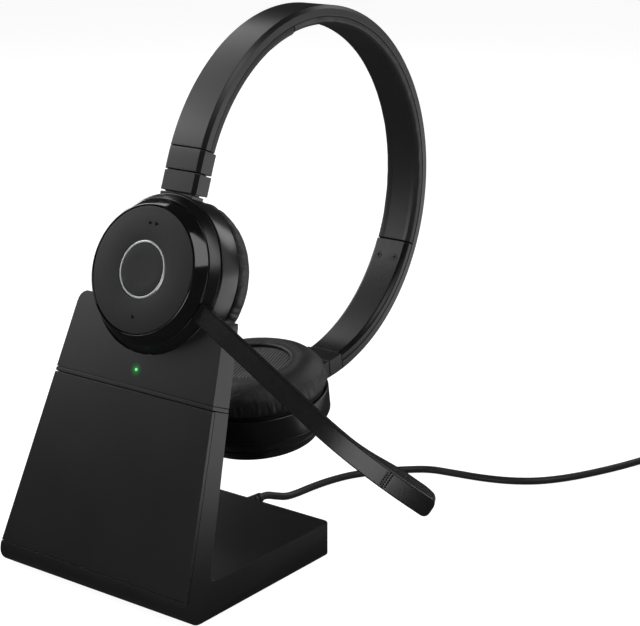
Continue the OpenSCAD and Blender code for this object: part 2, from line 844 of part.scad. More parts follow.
module mic_pocket() {
    a = 0.66 * bend_end;
    at = bend_point(a, 1.6);
    translate([at[0], at[1], 0]) rotate([0, 0, a]) rotate([-90, 0, 0]) children();
}

module boom_arm() {
    color([0.04, 0.04, 0.045]) difference() {
        boom_frame() boom_solid(0, 0.5, boom_w);
        ring_clearance();
        boom_frame() mic_pocket() cylinder(r = 3, h = 20);
        // Sound holes in the outer face, in three staggered rows
        boom_frame() mic_pocket() for (row = [-1, 0, 1], k = [-3 : (row == 0 ? 3 : 2)])
            translate([row * 0.95, k * 0.95 + (row == 0 ? 0 : 0.48), -5])
                cylinder(r = 0.32, h = 8, $fn = 16);
    }
}

module boom_cover() {
    color([0.03, 0.03, 0.03]) difference() {
        boom_frame() boom_solid(0.5, 1, boom_w);
        ring_clearance();
        boom_frame() mic_pocket() cylinder(r = 3, h = 6.4);
    }
}

module boom_mic() {
    color([0.75, 0.7, 0.5]) boom_frame() mic_pocket() {
        translate([0, 0, 0.4]) cylinder(r = 2.9, h = 2.6);
        translate([0, 0, 3]) cylinder(r = 2.4, h = 1.4);
    }
}

// ---------------------------------------------------------------- headband

// Outline of an arm's blocks as [radius, x] points
arm_points = [
    [band_ri, -half_band], [band_r - band_chamfer, -half_band],
    [band_r, -half_band + band_chamfer], [band_r, half_band - band_chamfer],
    [band_r - band_chamfer, half_band], [band_ri, half_band]
];
shell_points = [
    [shell_edge, -half_band], [band_r - band_chamfer, -half_band],
    [band_r, -half_band + band_chamfer], [band_r, half_band - band_chamfer],
    [band_r - band_chamfer, half_band], [shell_edge, half_band],
    [shell_edge, half_band - shell_side], [band_r - shell_t, half_band - shell_side],
    [band_r - shell_t, -half_band + shell_side], [shell_edge, -half_band + shell_side]
];

module band_shell() {
    color([0.04, 0.04, 0.045]) band_frame() swept(shell_points, -band_end, band_end);
}

// Outline of the soft pad: a shallow hollow between two rounded edges
function lining_points(dish) = let (h = half_band - 0.15, r = band_ri) [
    [shell_edge, -h], [shell_edge, h], [r + 1.6, h], [r + 0.45, h - 0.5],
    [r, h - 1.6], [r + dish, h - 3.4], [r + dish, 3.4 - h], [r, 1.6 - h],
    [r + 0.45, 0.5 - h], [r + 1.6, -h]
];

module band_pad() {
    color([0.05, 0.05, 0.05]) band_frame() swept(lining_points(0.5), -pad_end, pad_end);
}

// Spring steel strip inside the headband
module band_spring() {
    r = shell_edge;
    color([0.65, 0.66, 0.68]) band_frame()
        swept([[r, -6], [r + 0.6, -6], [r + 0.6, 6], [r, 6]], -spring_end, spring_end);
}

module end_cover_at(from, to) {
    difference() {
        swept(lining_points(0), from, to);
        band_screw_places() cylinder(r = 1.75, h = 1.4, center = true);
        band_screw_places() translate([0, 0, -8]) cylinder(r = 0.9, h = 12);
    }
}

// Places of the band screws, with z pointing to the headband's centre
module band_screw_places() {
    for (side = [-1, 1], k = [-1, 1])
        rotate([-side * screw_angle, 0, 0]) translate([k * screw_x, 0, band_ri])
            mirror([0, 0, 1]) children();
}

module near_end_cover() {
    color([0.05, 0.05, 0.05]) band_frame() end_cover_at(-band_end, -pad_end - 0.25);
}
module far_end_cover() {
    color([0.05, 0.05, 0.05]) band_frame() end_cover_at(pad_end + 0.25, band_end);
}

module band_screws() {
    color([0.3, 0.3, 0.32]) band_frame() band_screw_places() difference() {
        union() {
            translate([0, 0, -0.7]) cylinder(r = 1.65, h = 0.9);
            translate([0, 0, -3.9]) cylinder(r = 0.85, h = 3.4);
        }
        for (a = [0, 90]) rotate(a) cube([1.8, 0.4, 1], center = true);
    }
}

// Fixed block at the end of the headband, which the slider's strip passes through
module collar() {
    difference() {
        union() {
            translate([0, arm_d + band_r, collar_foot])
                linear_extrude(height = arm_top - collar_foot) rotate(-90) polygon(arm_points);
            translate([0, arm_d + band_r, arm_top]) rotate([-splay, 0, 0])
                swept(arm_points, -90 - splay, -band_end - 0.2);
        }
        strip_slot(strip_room, 0, 40);
    }
}

module strip_slot(room, from, long) {
    translate([-strip_w / 2 - room, strip_d - room, collar_foot - 2 + from])
        cube([strip_w + 2 * room, strip_t + 2 * room, long]);
}

// Block that slides out of the collar and holds the ear cup's hinge pin.
// A low plinth on its top closes the gap to the collar.
module slider() {
    difference() {
        union() {
            translate([0, arm_d + band_r, slider_foot])
                linear_extrude(height = slider_l) rotate(-90) polygon(arm_points);
            translate([-half_band + 1.5, arm_d + 1.2, slider_top - 0.5])
                cube([band_w - 3, 6.2, 0.5 + plinth_h]);
        }
        // Room for the knuckle
        translate([-knuckle_w / 2 - 0.3, pin_d - knuckle_r - 0.4, slider_foot - 1])
            cube([knuckle_w + 0.6, 2 * knuckle_r + 0.8, pin_z + knuckle_r + 1.5 - slider_foot]);
        translate([0, pin_d, pin_z]) rotate([0, 90, 0])
            cylinder(r = pin_r, h = pin_l, center = true);
        translate([-strip_w / 2, strip_d, slider_top - 1.2]) cube([strip_w, strip_t, 10]);
    }
}

// Steel strip fixed in the slider, running up into the headband
module strip() {
    translate([-strip_w / 2, strip_d, slider_top - 1.2])
        cube([strip_w, strip_t, arm_top + strip_reach - slider_top + 1.2]);
}

module near_collar() { color([0.05, 0.05, 0.055]) near_frame() collar(); }
module far_collar() { color([0.05, 0.05, 0.055]) far_frame() collar(); }
module near_slider() { color([0.05, 0.05, 0.055]) near_frame() slider(); }
module far_slider() { color([0.05, 0.05, 0.055]) far_frame() slider(); }
module near_strip() { color([0.65, 0.66, 0.68]) near_frame() strip(); }
module far_strip() { color([0.65, 0.66, 0.68]) far_frame() strip(); }

stand_shell();
front_panel();
stand_head();
trim_band();
base_plate();
rubber_feet();
ballast();
charge_board();
status_light();
charge_pins();
base_screws();
strain_relief();
cable();
cable_coil();
cable_tie();
plug_body();
plug_shell();
near_housing();
near_bevel();
rocker_plate();
bright_ring();
call_button();
switch_board();
battery();
charge_pads();
near_baffle();
near_driver();
near_cloth();
near_cushion();
near_neck();
boom_ring();
boom_arm();
boom_cover();
boom_mic();
band_shell();
band_pad();
band_spring();
near_end_cover();
far_end_cover();
band_screws();
near_collar();
far_collar();
near_slider();
near_strip();
near_pin();
far_slider();
far_strip();
far_pin();
far_housing();
far_bevel();
far_ring();
far_cap();
far_baffle();
far_driver();
far_cloth();
far_cushion();
far_neck();
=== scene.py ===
"""Looks of an office headset docked in its charging stand, built round the packed frame."""
import json
import math

import bmesh
import bpy
from bpy.props import FloatProperty, FloatVectorProperty, IntProperty, PointerProperty
from mathutils import Matrix, Vector, noise

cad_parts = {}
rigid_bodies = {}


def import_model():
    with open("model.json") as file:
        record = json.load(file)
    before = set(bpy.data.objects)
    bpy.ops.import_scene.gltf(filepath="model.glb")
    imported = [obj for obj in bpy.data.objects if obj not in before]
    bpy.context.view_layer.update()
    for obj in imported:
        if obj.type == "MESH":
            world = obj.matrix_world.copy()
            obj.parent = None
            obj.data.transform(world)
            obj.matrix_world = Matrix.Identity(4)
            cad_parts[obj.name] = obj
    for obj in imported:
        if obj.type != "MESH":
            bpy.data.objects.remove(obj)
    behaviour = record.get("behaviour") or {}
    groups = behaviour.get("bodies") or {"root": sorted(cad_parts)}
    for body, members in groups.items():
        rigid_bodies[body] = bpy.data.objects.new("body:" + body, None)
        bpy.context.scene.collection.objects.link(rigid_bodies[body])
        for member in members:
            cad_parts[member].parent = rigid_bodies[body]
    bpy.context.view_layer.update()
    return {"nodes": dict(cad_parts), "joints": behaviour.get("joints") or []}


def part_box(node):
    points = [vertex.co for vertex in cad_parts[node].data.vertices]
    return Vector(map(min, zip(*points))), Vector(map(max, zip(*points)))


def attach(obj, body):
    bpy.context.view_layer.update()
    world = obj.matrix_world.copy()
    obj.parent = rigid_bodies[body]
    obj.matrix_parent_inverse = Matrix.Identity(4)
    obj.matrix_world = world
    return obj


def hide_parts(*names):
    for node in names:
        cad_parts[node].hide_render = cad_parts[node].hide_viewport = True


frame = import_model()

bl_info = {
    "name": "Office headset",
    "version": (1, 0, 0),
    "blender": (4, 5, 0),
    "location": "View3D > Sidebar > Headset",
    "description": "Builds an office headset, its charging stand and its cable",
    "category": "Mesh",
}

MM = 0.001
JOINTS = {joint["name"]: joint for joint in frame["joints"]}
RIGHT = Vector((1, 0, 0))


# ------------------------------------------------------------------ places

def axes_at(origin, right, up):
    """Matrix of a group's own axes: x to the right, y into the group, z up."""
    matrix = Matrix((right, up.cross(right), up)).transposed().to_4x4()
    matrix.translation = origin
    return matrix


def step(x, y, z):
    return Matrix.Translation(Vector((x, y, z)) * MM)


def span(node, axis):
    low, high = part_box(node)
    return (high[axis] - low[axis]) / MM


FACE_TO_ROCKER = 2.3
PIN_DEEP = 14.5
PIN_UP = 38.8
OUT = Vector(JOINTS["boom_turn"]["axis"])
NEAR_UP = Vector(JOINTS["lift_off"]["axis"])
NEAR = axes_at(Vector(JOINTS["rocker_tilt"]["pos_m"]) + OUT * FACE_TO_ROCKER * MM, RIGHT, NEAR_UP)
FAR_UP = -Vector(JOINTS["far_extend"]["axis"])
FAR = axes_at(Vector(JOINTS["far_tilt"]["pos_m"]), -RIGHT, FAR_UP) @ step(0, -PIN_DEEP, -PIN_UP)

# Ear cup, in millimetres from its outer face and its axis
CUP_R = span("near_housing", 0) / 2
BEVEL_R = CUP_R - 3.1
FACE_R = BEVEL_R - 3.7
COLLAR_R = FACE_R - 2.2
BEVEL_D = 5.4
RING_D = 10.3
HOUSING_D = 21.4
GAP_D = HOUSING_D + 1.2
CUSHION_R = CUP_R - 0.8
CUSHION_T = 14.4
CROWN_R = CUSHION_R - 10
EAR_R = 17.7
CLOTH_D = GAP_D + CUSHION_T - 2.4
BUTTON_R = 11.1
BRIGHT_W = 1.2
BRIGHT_BACK = 1.0
CUP_WALL = 1.8
PLATE_D = 0.15
PLATE_BACK = 1.6
FRONT_WALL_D = 3.2
RING_GAP = 0.2
# Direction across the ribs of the speaker cloth
RIB_X, RIB_Z = 0.970, -0.242

# Headband, in millimetres and degrees from its crown
BAND_R = 87.0
BAND_T = 9.0
HALF_BAND = span("band_shell", 0) / 2
SHELL_IN = BAND_R - 4.8
LINING_IN = BAND_R - BAND_T
SPLAY = 30.6
ARM_TOP = 48.3
COLLAR_FOOT = 43.85
STRAIGHT_AT = BAND_R * math.radians(90 + SPLAY)
BAND_END = BAND_R * math.radians(90 + SPLAY - 3.7)
PAD_END = BAND_R * math.radians(64)
SCREW_ANGLE = 70.4
SCREW_X = 4.6
BAND = NEAR @ step(0, RING_D + BAND_R, ARM_TOP) @ Matrix.Rotation(math.radians(-SPLAY), 4, "X")

# Boom: its axes run along the arm, into the cup and across the arm
BOOM_ANGLE = 24.7
BOOM = NEAR @ Matrix.Rotation(math.radians(BOOM_ANGLE), 4, "Y") @ step(0, BEVEL_D + 0.15, 1)

# Stand
LEAN = 21.5
FRONT_Y = -50.0
RUBBER_H = 0.8
UPRIGHT = Matrix.Translation(Vector((0, FRONT_Y, RUBBER_H)) * MM) @ Matrix.Rotation(
    math.radians(-LEAN), 4, "X")
LIGHT_UP = 97.1

# Cable: where it leaves its strain relief, and its way along the table
CORD_EXIT = (0.0, 66.0, 8.4)
CORD_WAY = [
    (0, 5, 7.8), (0, 12, 5.2), (0, 19, 2.8), (0, 27), (1, 38), (3, 50), (7, 62), (14, 73),
    (23, 83), (33, 91), (45, 94), (59, 97), (72, 102), (83, 110), (92, 122), (100, 138),
    (107, 156), (113, 176), (118, 196),
]
COIL_R = 20.0
COIL_ROWS = 4


# ------------------------------------------------------------------ sizes and colours

class HeadsetSizes(bpy.types.PropertyGroup):
    """Sizes of the pieces that are made here."""
    cord_thickness: FloatProperty(
        name="Cable thickness", description="Diameter of the charging cable",
        default=0.0035, min=0.002, max=0.006, unit="LENGTH")
    pucker: FloatProperty(
        name="Cushion puckers", description="Depth of the folds round a cushion's opening",
        default=0.00042, min=0, max=0.001, unit="LENGTH")
    rib: FloatProperty(
        name="Cloth rib", description="Pitch of the ribs in the speaker cloth",
        default=0.0015, min=0.0008, max=0.003, unit="LENGTH")
    turns: IntProperty(
        name="Facets round a cup", description="Faces round a turned piece",
        default=160, min=48, max=256)


class HeadsetLooks(bpy.types.PropertyGroup):
    """Colours of the finishes."""
    plastic: FloatVectorProperty(
        name="Plastic", description="Colour of the satin mouldings",
        default=(0.0065, 0.0065, 0.007), size=3, min=0, max=1, subtype="COLOR")
    leather: FloatVectorProperty(
        name="Leather", description="Colour of the ear cushions",
        default=(0.006, 0.006, 0.0063), size=3, min=0, max=1, subtype="COLOR")
    light: FloatVectorProperty(
        name="Light", description="Colour of the status light",
        default=(0.01, 0.62, 0.09), size=3, min=0, max=1, subtype="COLOR")
    glow: FloatProperty(
        name="Glow", description="Strength of the status light",
        default=0.9, min=0, max=40)


def sizes():
    return bpy.context.scene.headset_sizes


def looks():
    return bpy.context.scene.headset_looks


# ------------------------------------------------------------------ finishes

class Wire:
    """An output of a node, which Python's operators can work on."""

    def __init__(self, finish, socket):
        self.finish = finish
        self.socket = socket

    def math(self, operation, *others):
        values = dict(enumerate((self, *others)))
        return self.finish.add("ShaderNodeMath", {"operation": operation}, values)

    def __add__(self, other):
        return self.math("ADD", other)

    def __sub__(self, other):
        return self.math("SUBTRACT", other)

    def __rsub__(self, other):
        return self.finish.add("ShaderNodeMath", {"operation": "SUBTRACT"}, {0: other, 1: self})

    def __mul__(self, other):
        return self.math("MULTIPLY", other)

    def __truediv__(self, other):
        return self.math("DIVIDE", other)

    def __pow__(self, other):
        return self.math("POWER", other)

    __radd__ = __add__
    __rmul__ = __mul__

    def clamped(self):
        return self.finish.add("ShaderNodeClamp", {}, {"Value": self})


class Finish:
    """A material and the nodes that make it."""

    def __init__(self, name):
        self.material = bpy.data.materials.new(name)
        self.material.use_nodes = True
        self.tree = self.material.node_tree
        self.shader = next(n for n in self.tree.nodes if n.type == "BSDF_PRINCIPLED")

    def add(self, kind, settings, values, output=0):
        node = self.tree.nodes.new(kind)
        for key, value in settings.items():
            setattr(node, key, value)
        for key, value in values.items():
            self.put(node.inputs[key], value)
        return Wire(self, node.outputs[output])

    def put(self, socket, value):
        if isinstance(value, Wire):
            self.tree.links.new(value.socket, socket)
        else:
            socket.default_value = value

    def set(self, **values):
        for key, value in values.items():
            self.put(self.shader.inputs[key.replace("_", " ")], value)

    def where(self):
        """Place on the piece, in millimetres."""
        place = self.add("ShaderNodeTexCoord", {}, {}, "Object")
        return self.add("ShaderNodeVectorMath", {"operation": "SCALE"},
                        {0: place, "Scale": 1 / MM}, "Vector")

    def across(self, where, axes):
        """Distances along the right and up of a cup's axes, in millimetres."""
        offset = self.add("ShaderNodeVectorMath", {"operation": "SUBTRACT"},
                          {0: where, 1: tuple(axes.translation / MM)}, "Vector")
        return [self.add("ShaderNodeVectorMath", {"operation": "DOT_PRODUCT"},
                         {0: offset, 1: tuple(axes.col[k].xyz)}, "Value") for k in (0, 2)]

    def noise(self, where, size, detail=2.0, rough=0.5):
        return self.add("ShaderNodeTexNoise", {}, {
            "Vector": where, "Scale": 1 / size, "Detail": detail, "Roughness": rough})

    def cells(self, where, size, feature="F1"):
        return self.add("ShaderNodeTexVoronoi", {"feature": feature}, {
            "Vector": where, "Scale": 1 / size})

    def blend(self, share, first, second):
        return self.add("ShaderNodeMix", {"data_type": "RGBA"},
                        {0: share, 6: (*first, 1), 7: (*second, 1)}, 2)

    def bump(self, height, distance, strength=1.0):
        """Makes the surface rise by distance, in millimetres, where height is 1."""
        self.set(Normal=self.add("ShaderNodeBump", {}, {
            "Strength": strength, "Distance": distance * MM, "Height": height}))


def tint(colour, factor):
    return tuple(min(1.0, c * factor) for c in colour)


def moulded(name, colour, roughness, grain=0.35, depth=0.012, shine=0.45):
    """Moulded plastic: a fine spark-eroded grain, faint flow marks and handling marks."""
    f = Finish(name)
    where = f.where()
    cloud = f.noise(where, 22, 3)
    marks = f.noise(where, 3.1, 4, 0.6)
    specks = f.cells(where, grain)
    f.set(Base_Color=f.blend(cloud, tint(colour, 0.82), tint(colour, 1.22)),
          Roughness=(roughness - 0.05 + cloud * 0.05 + marks * 0.05 + specks * 0.04).clamped(),
          Specular_IOR_Level=shine)
    f.bump(specks * 0.7 + f.noise(where, grain * 0.6, 2) * 0.6, depth)
    return f.material


def polished(name, colour, roughness):
    """Polished plastic with hairline scratches, dust and a faint orange peel."""
    f = Finish(name)
    where = f.where()
    stretched = f.add("ShaderNodeMapping", {}, {"Vector": where, "Scale": (0.25, 2.2, 2.2)})
    hairs = (f.noise(stretched, 0.5, 4, 0.7) - 0.62).clamped() * 3.0
    smudge = f.noise(where, 9, 3, 0.6)
    dust = 1 - (f.cells(where, 1.9) * 9.0).clamped()
    f.set(Base_Color=f.blend(dust * 0.25, colour, (0.10, 0.10, 0.10)),
          Roughness=(roughness + smudge * 0.05 + hairs * 0.10 + dust * 0.2).clamped(),
          Specular_IOR_Level=0.5)
    f.bump(f.noise(where, 2.6, 1), 0.004)
    return f.material


def leather(name, colour):
    """Soft leatherette: pebbled grain in pores and creases, polished on the high parts."""
    f = Finish(name)
    where = f.where()
    warp = f.add("ShaderNodeTexNoise", {}, {"Vector": where, "Scale": 0.6, "Detail": 3.0},
                 "Color")
    bent = f.add("ShaderNodeVectorMath", {"operation": "MULTIPLY_ADD"},
                 {0: warp, 1: (1.3, 1.3, 1.3), 2: where}, "Vector")
    pebbles = f.cells(bent, 0.75, "DISTANCE_TO_EDGE")
    grain = (pebbles * 3.2).clamped()
    creases = f.noise(bent, 2.3, 5, 0.62)
    pores = (f.cells(where, 0.31) * 2.4).clamped()
    f.set(Base_Color=f.blend(grain * 0.6 + creases * 0.4, tint(colour, 0.6), tint(colour, 1.45)),
          Roughness=(0.46 - grain * 0.10 + creases * 0.12).clamped(),
          Specular_IOR_Level=0.5, Sheen_Weight=0.04, Sheen_Roughness=0.4)
    f.bump(grain * 0.6 + creases * 0.9 + pores * 0.15, 0.085)
    return f.material


def ribbed(name, colour, axes):
    """Knitted speaker cloth: slanting ribs made of small stitches."""
    f = Finish(name)
    where = f.where()
    x, z = f.across(where, axes)
    pitch = sizes().rib / MM
    across = (x * RIB_X + z * RIB_Z) * (2 * math.pi / pitch)
    along = (z * RIB_X - x * RIB_Z) * (2 * math.pi / 0.62)
    rib = across.math("SINE") * 0.5 + 0.5
    stitch = (along + across.math("SINE") * 1.4).math("SINE") * 0.5 + 0.5
    fuzz = f.noise(where, 0.22, 3)
    f.set(Base_Color=f.blend((rib * 0.6 + stitch * 0.3 + fuzz * 0.2).clamped(),
                             tint(colour, 0.35), tint(colour, 1.9)),
          Roughness=0.88 - rib * 0.08, Sheen_Weight=0.25, Sheen_Roughness=0.5)
    f.bump(rib + stitch * 0.35 + fuzz * 0.25, 0.22)
    return f.material


def brushed(name, colour, roughness, axes=None):
    """Bare metal with tool marks: round its axis when turned, straight when not."""
    f = Finish(name)
    where = f.where()
    if axes:
        x, z = f.across(where, axes)
        radius = (x * x + z * z).math("SQRT")
        fine = f.add("ShaderNodeTexNoise", {"noise_dimensions": "1D"},
                     {"W": radius, "Scale": 26.0, "Detail": 4.0})
    else:
        lines = f.add("ShaderNodeMapping", {}, {"Vector": where, "Scale": (0.12, 3.0, 3.0)})
        fine = f.noise(lines, 0.4, 4, 0.65)
    tarnish = f.noise(where, 5, 3)
    f.set(Base_Color=f.blend(tarnish * 0.5 + fine * 0.5, tint(colour, 0.75), tint(colour, 1.1)),
          Metallic=1.0, Roughness=(roughness - 0.06 + fine * 0.14 + tarnish * 0.05).clamped())
    f.bump(fine, 0.006)
    return f.material


def rubber(name, colour, roughness, grain=0.5):
    """Soft rubber: a matt skin with dust in its grain."""
    f = Finish(name)
    where = f.where()
    cloud = f.noise(where, 12, 4)
    fine = f.noise(where, grain, 3, 0.6)
    dust = (f.noise(where, 1.4, 5, 0.7) - 0.56).clamped() * 1.6
    f.set(Base_Color=f.blend((cloud * 0.5 + dust).clamped(), tint(colour, 0.85),
                             tint(colour, 1.7)),
          Roughness=(roughness + cloud * 0.05 + dust * 0.15).clamped(), Specular_IOR_Level=0.4)
    f.bump(fine, 0.02)
    return f.material


def stand_front(name, colour, roughness):
    """Satin plastic that catches the light which spills from the status light."""
    f = Finish(name)
    where = f.where()
    spot = UPRIGHT @ Vector((0, 0, LIGHT_UP * MM)) / MM
    gap = f.add("ShaderNodeVectorMath", {"operation": "DISTANCE"},
                {0: where, 1: tuple(spot)}, "Value")
    # Painted glow: strongest next to the status light and gone 4.2 mm away from it
    near = (1 - gap / 4.2).clamped()
    cloud = f.noise(where, 30, 3)
    marks = f.noise(where, 2.4, 4, 0.6)
    specks = f.cells(where, 0.3)
    f.set(Base_Color=f.blend(cloud, tint(colour, 0.85), tint(colour, 1.2)),
          Roughness=(roughness - 0.05 + cloud * 0.06 + marks * 0.05 + specks * 0.04).clamped(),
          Emission_Strength=1.0, Specular_IOR_Level=0.45,
          # painted glow of the status light, given to the plastic as emission
          Emission_Color=f.blend(near ** 3.0 * 0.5, (0, 0, 0), tuple(looks().light)))
    f.bump(specks * 0.7 + f.noise(where, 0.2, 2) * 0.6, 0.010)
    return f.material


def lit(name):
    """Clear lens of the status light, brighter in its middle."""
    f = Finish(name)
    where = f.where()
    haze = f.noise(where, 0.4, 3)
    colour = tuple(looks().light)
    f.set(Base_Color=f.blend(haze, tint(colour, 0.5), tint(colour, 0.9)), Roughness=0.18,
          Emission_Color=f.blend(haze, tint(colour, 0.8), (0.45, 1.0, 0.6)),
          Emission_Strength=looks().glow)
    f.bump(haze, 0.01)
    return f.material


def board(name):
    """Circuit board: green mask over copper tracks."""
    f = Finish(name)
    where = f.where()
    tracks = (f.cells(where, 3.0, "DISTANCE_TO_EDGE") * 14.0).clamped()
    f.set(Base_Color=f.blend(tracks, (0.02, 0.16, 0.06), (0.008, 0.07, 0.025)), Roughness=0.35)
    f.bump(1 - tracks, 0.03)
    return f.material


def woven_tape(name, colour):
    """Hook-and-loop tape: short loops in rows."""
    f = Finish(name)
    where = f.where()
    loops = f.cells(where, 0.55)
    fuzz = f.noise(where, 0.3, 3)
    f.set(Base_Color=f.blend(loops, tint(colour, 2.2), tint(colour, 0.5)), Roughness=0.92,
          Sheen_Weight=0.3)
    f.bump(1 - loops + fuzz * 0.5, 0.2)
    return f.material


def make_finishes():
    black = tuple(looks().plastic)
    hide = tuple(looks().leather)
    return {
        "stand_plastic": stand_front("stand_plastic", black, 0.34),
        "panel_gloss": stand_front("panel_gloss", tint(black, 0.9), 0.33),
        "base_plastic": moulded("base_plastic", tint(black, 0.8), 0.55, 0.6, 0.02),
        "foot_rubber": rubber("foot_rubber", (0.02, 0.02, 0.02), 0.75),
        "ballast_steel": brushed("ballast_steel", (0.55, 0.55, 0.57), 0.4),
        "circuit_board": board("circuit_board"),
        "light_lens": lit("light_lens"),
        "gold_contact": brushed("gold_contact", (0.9, 0.66, 0.28), 0.22),
        "screw_steel": brushed("screw_steel", (0.03, 0.03, 0.032), 0.36),
        "cable_rubber": rubber("cable_rubber", (0.012, 0.012, 0.0125), 0.42, 0.3),
        "tie_fabric": woven_tape("tie_fabric", (0.02, 0.02, 0.02)),
        "plug_steel": brushed("plug_steel", (0.72, 0.72, 0.74), 0.25),
        "cup_plastic": moulded("cup_plastic", tint(black, 0.7), 0.23, 0.28, 0.004),
        "cup_gloss": polished("cup_gloss", (0.004, 0.004, 0.0042), 0.07),
        "face_matte": moulded("face_matte", tint(black, 0.95), 0.48, 0.24, 0.012, 0.26),
        "bright_metal": brushed("bright_metal", (0.42, 0.43, 0.44), 0.30, NEAR),
        "battery_wrap": moulded("battery_wrap", (0.05, 0.12, 0.3), 0.3),
        "baffle_plastic": moulded("baffle_plastic", tint(black, 0.5), 0.6),
        "driver_metal": brushed("driver_metal", (0.4, 0.4, 0.41), 0.35),
        "speaker_cloth": ribbed("speaker_cloth", (0.016, 0.016, 0.0165), NEAR),
        "far_speaker_cloth": ribbed("far_speaker_cloth", (0.016, 0.016, 0.0165), FAR),
        "ear_leather": leather("ear_leather", hide),
        "boom_plastic": moulded("boom_plastic", tint(black, 0.8), 0.24, 0.28, 0.004),
        "band_plastic": moulded("band_plastic", tint(black, 0.9), 0.30, 0.3, 0.007, 0.38),
        "pad_rubber": rubber("pad_rubber", tint(black, 1.1), 0.46, 0.35),
        "band_inner": moulded("band_inner", tint(black, 0.7), 0.26, 0.3, 0.006, 0.24),
        "spring_steel": brushed("spring_steel", (0.5, 0.5, 0.52), 0.3),
        "mark_paint": moulded("mark_paint", (0.001, 0.001, 0.001), 0.7, 0.2, 0.004, 0.04),
    }


FINISHES = {}


# ------------------------------------------------------------------ meshes

def piece(name, points, faces, axes, finish, body, *stands_for, smooth=True):
    """An object from points in millimetres, in the given axes, riding on a body."""
    mesh = bpy.data.meshes.new(name)
    mesh.from_pydata([Vector(p) * MM for p in points], [], faces)
    made = bmesh.new()
    made.from_mesh(mesh)
    bmesh.ops.remove_doubles(made, verts=made.verts, dist=1e-7)
    bmesh.ops.dissolve_degenerate(made, edges=made.edges, dist=1e-7)
    bmesh.ops.recalc_face_normals(made, faces=made.faces)
    made.to_mesh(mesh)
    made.free()
    for polygon in mesh.polygons:
        polygon.use_smooth = smooth
    thing = bpy.data.objects.new(name, mesh)
    bpy.context.scene.collection.objects.link(thing)
    thing.matrix_world = axes
    mesh.materials.append(FINISHES[finish])
    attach(thing, body)
    if stands_for:
        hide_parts(*stands_for)
    finish != "mark_paint"
    return thing


def settle():
    """Puts every mesh made here in the frame's own axes, as the packed nodes are."""
    for thing in bpy.context.scene.objects:
        if thing.type == "MESH" and thing.name not in frame["nodes"]:
            thing.data.transform(thing.matrix_world)
            thing.matrix_world = Matrix.Identity(4)


def add_modifier(thing, kind, **settings):
    modifier = thing.modifiers.new(kind.lower(), kind)
    for key, value in settings.items():
        setattr(modifier, key, value)
    return modifier


def crisp(thing):
    """Keeps flat faces flat and rounded edges round in the shading."""
    add_modifier(thing, "WEIGHTED_NORMAL", weight=60, keep_sharp=False)


def drilled(thing, drill, axes, **settings):
    """Takes the drill's cylinders out of a piece for good."""
    mesh = bpy.data.meshes.new("drill")
    drill.to_mesh(mesh)
    drill.free()
    tool = bpy.data.objects.new("drill", mesh)
    bpy.context.scene.collection.objects.link(tool)
    tool.matrix_world = axes
    cut = add_modifier(thing, "BOOLEAN", operation="DIFFERENCE", solver="EXACT", object=tool,
                       **settings)
    bpy.context.view_layer.update()
    view = thing.evaluated_get(bpy.context.evaluated_depsgraph_get())
    bored = bpy.data.meshes.new_from_object(view)
    thing.modifiers.remove(cut)
    thing.data = bored
    bpy.data.objects.remove(tool)


def cylinder(drill, radius, depth, segments, matrix):
    bmesh.ops.create_cone(drill, cap_ends=True, segments=segments, radius1=radius,
                          radius2=radius, depth=depth, matrix=matrix)


def soften(corners, count=4):
    """Closed outline in which each corner (a, b, radius) is rounded."""
    outline = []
    for i, (a, b, radius) in enumerate(corners):
        here = Vector((a, b))
        if radius <= 0:
            outline.append(here)
            continue
        before = Vector(corners[i - 1][:2]) - here
        after = Vector(corners[(i + 1) % len(corners)][:2]) - here
        reach = radius / math.tan(before.angle(after) / 2)
        reach = min(reach, 0.48 * before.length, 0.48 * after.length)
        start = here + before.normalized() * reach
        end = here + after.normalized() * reach
        for k in range(count + 1):
            t = k / count
            outline.append(start * (1 - t) ** 2 + here * 2 * t * (1 - t) + end * t * t)
    return outline


def inset(outline, distance):
    """The outline moved inwards."""
    area = sum(p.x * q.y - q.x * p.y for p, q in zip(outline, outline[1:] + outline[:1]))
    sign = 1 if area > 0 else -1
    moved = []
    for i, here in enumerate(outline):
        along = outline[(i + 1) % len(outline)] - outline[i - 1]
        if along.length < 1e-9:
            moved.append(here.copy())
            continue
        along.normalize()
        moved.append(here + Vector((-along.y, along.x)) * sign * distance)
    return moved


def turned(name, corners, axes, finish, body, *stands_for, count=4, wave=None):
    """Turns an outline of (radius, depth, rounding) corners about the cup's axis."""
    outline = soften(corners, count)
    around = sizes().turns
    points = []
    for k in range(around):
        angle = 2 * math.pi * k / around
        for p in outline:
            r, d = wave(p.x, p.y, angle) if wave else (p.x, p.y)
            points.append((r * math.sin(angle), d, r * math.cos(angle)))
    n = len(outline)
    faces = []
    for k in range(around):
        a, b = k * n, (k + 1) % around * n
        for i in range(n):
            j = (i + 1) % n
            if outline[i].x > 1e-6 or outline[j].x > 1e-6:
                faces.append((a + i, a + j, b + j, b + i))
    return piece(name, points, faces, axes, finish, body, *stands_for)


def lofted(name, sections, axes, finish, body, *stands_for):
    """Skin through closed sections of equally many points, with flat ends."""
    n = len(sections[0])
    faces = [tuple(range(n)), tuple(reversed(range((len(sections) - 1) * n, len(sections) * n)))]
    for s in range(len(sections) - 1):
        for i in range(n):
            j = (i + 1) % n
            faces.append((s * n + i, s * n + j, (s + 1) * n + j, (s + 1) * n + i))
    points = [p for section in sections for p in section]
    return piece(name, points, faces, axes, finish, body, *stands_for)


